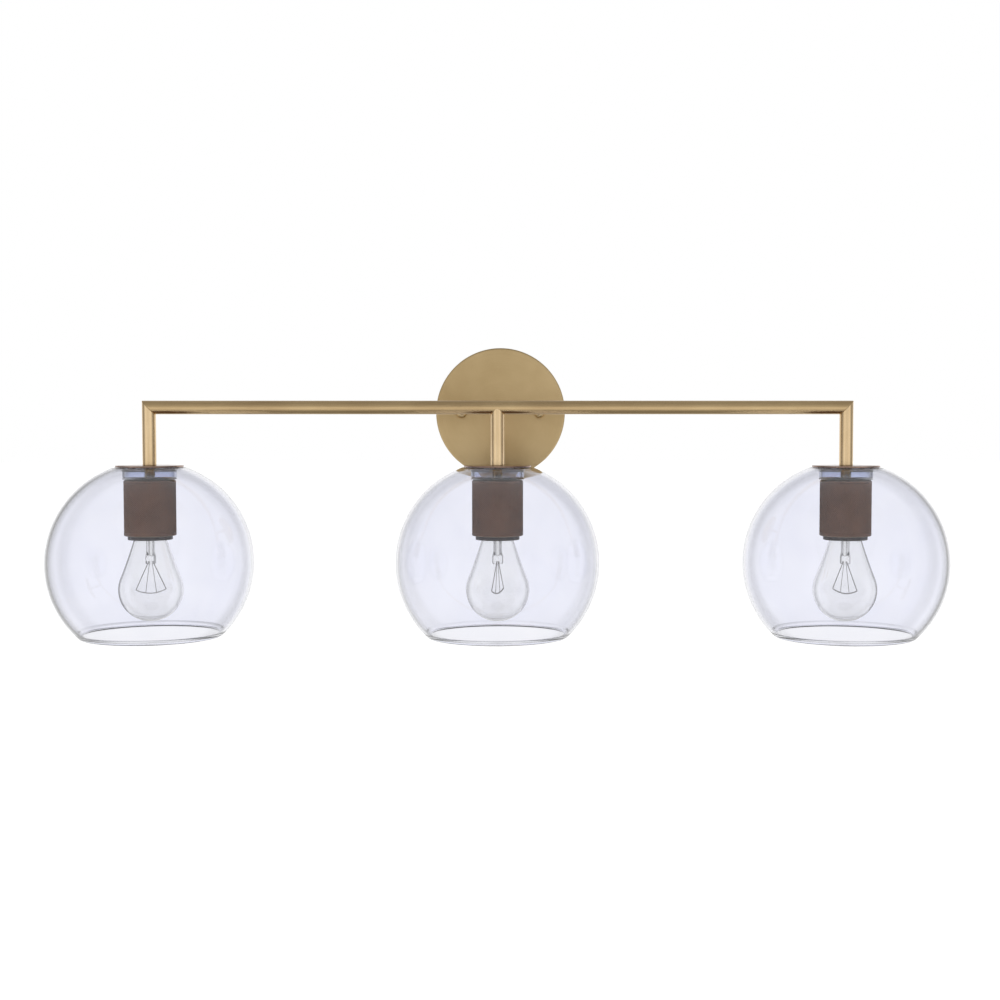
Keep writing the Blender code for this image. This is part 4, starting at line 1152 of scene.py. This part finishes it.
def floor():
    """A plain pale round sheet with a faint plaster grain."""
    radius = FLOOR_SIZE * np.linspace(0, 1, 12)[:, None]
    angle = np.linspace(0, math.tau, 64, endpoint=False)
    grid = np.stack([radius * np.cos(angle), radius * np.sin(angle),
                     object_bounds()[0].z - FLOOR_DROP + 0 * radius * angle], axis=-1)
    made, tree, shader, where = start_finish("pale_floor", {
        "Roughness": 0.9, "Emission Strength": 0.6, "Emission Color": (1, 1, 1, 1)})
    tree.links.new(blend_colours(tree, noise(tree, where, 6.0, 4.0), FLOOR_DARK, FLOOR_LIGHT),
                   shader.inputs["Base Color"])
    sheet = bpy.data.objects.new("floor", make_mesh("floor", made, [faces_on(grid)]))
    bpy.context.scene.collection.objects.link(sheet)
    sheet.visible_glossy = False
    sheet.visible_transmission = False
    sheet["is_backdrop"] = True


def soft_box(name, place, aim, size, power):
    """A rectangular light that faces the given spot. Neither the camera nor a reflection shows it."""
    lamp = bpy.data.lights.new(name, "AREA")
    lamp.shape = "RECTANGLE"
    lamp.size, lamp.size_y = size
    lamp.energy = power
    box = bpy.data.objects.new(name, lamp)
    box.location = place
    box.rotation_euler = (Vector(aim) - Vector(place)).to_track_quat("-Z", "Y").to_euler()
    box.visible_camera = False
    box.visible_glossy = False
    box.visible_transmission = False
    bpy.context.scene.collection.objects.link(box)


def levels(tree, value, stops):
    """A grey level read from (place, level) stops."""
    node = add_node(tree, "ValToRGB", {"Fac": value})
    marks = node.color_ramp.elements
    while len(marks) < len(stops):
        marks.new(1.0)
    for mark, (place, level) in zip(marks, stops):
        mark.position = place
        mark.color = (level, level, level, 1.0)
    return node.outputs["Color"]


def studio():
    """White where the camera looks straight past the object. Metal sees a bright sheet behind the object
    and dimmer sides, ceiling and floor. Glass sees the same sheet with a dark ring round it, which draws
    the glass's outlines, and a pale room beyond the ring."""
    world = bpy.data.worlds.new("studio")
    world.use_nodes = True
    tree = world.node_tree
    way = add_node(tree, "TexCoord", {}).outputs["Generated"]
    split = add_node(tree, "SeparateXYZ", {"Vector": way}).outputs
    back = spread(tree, split["Y"], 0.0, 1.0, 0.80, 0.93, interpolation_type="SMOOTHSTEP")
    aside = combine(tree, "ABSOLUTE", split["X"])
    lift = combine(tree, "MULTIPLY_ADD", split["Z"], 0.5, 0.5)
    depth = combine(tree, "MULTIPLY_ADD", split["Y"], 0.5, 0.5)
    room = combine(tree, "MULTIPLY", levels(tree, aside, ROOM_BESIDE), levels(tree, lift, ROOM_UPWARDS))
    bright = combine(tree, "MAXIMUM", back, combine(tree, "MULTIPLY", room, ROOM_STRENGTH))
    inside = combine(tree, "MULTIPLY", levels(tree, depth, GLASS_ROUND), levels(tree, aside, GLASS_BESIDE))
    through = combine(tree, "MAXIMUM", back, inside)
    rays = add_node(tree, "LightPath", {}).outputs
    inner = add_node(tree, "Mix", {"Factor": rays["Is Transmission Ray"], "A": bright, "B": through},
                     data_type="FLOAT").outputs["Result"]
    background = tree.nodes["Background"]
    tree.links.new(combine(tree, "MAXIMUM", inner, rays["Is Camera Ray"]), background.inputs["Strength"])
    background.inputs["Color"].default_value = (1, 1, 1, 1)
    bpy.context.scene.world = world
    bar = middle("crossbar")
    soft_box("box_left", (-1.5, bar.y - 1.4, 0.1), bar, (0.5, 1.3), 22)
    soft_box("box_right", (1.5, bar.y - 1.4, 0.1), bar, (0.5, 1.3), 22)
    soft_box("box_low", (0, bar.y - 1.9, -0.9), bar, (2.4, 0.5), 22)


def camera():
    """At the distance, height and angles named above, measured from the middle of the bar."""
    bar = middle("crossbar")
    eye = bpy.data.cameras.new("eye")
    eye.lens = EYE_LENS
    eye.sensor_width = 36.0
    eye.shift_x = EYE_SHIFT
    stand = bpy.data.objects.new("eye", eye)
    stand.location = (EYE_SIDE, bar.y - EYE_DISTANCE, bar.z + EYE_HEIGHT)
    stand.rotation_euler = Euler((math.pi / 2 + EYE_PITCH, 0, EYE_TURN))
    bpy.context.scene.collection.objects.link(stand)
    bpy.context.scene.camera = stand
    bpy.context.scene.view_settings.view_transform = "Standard"


floor()
studio()
camera()
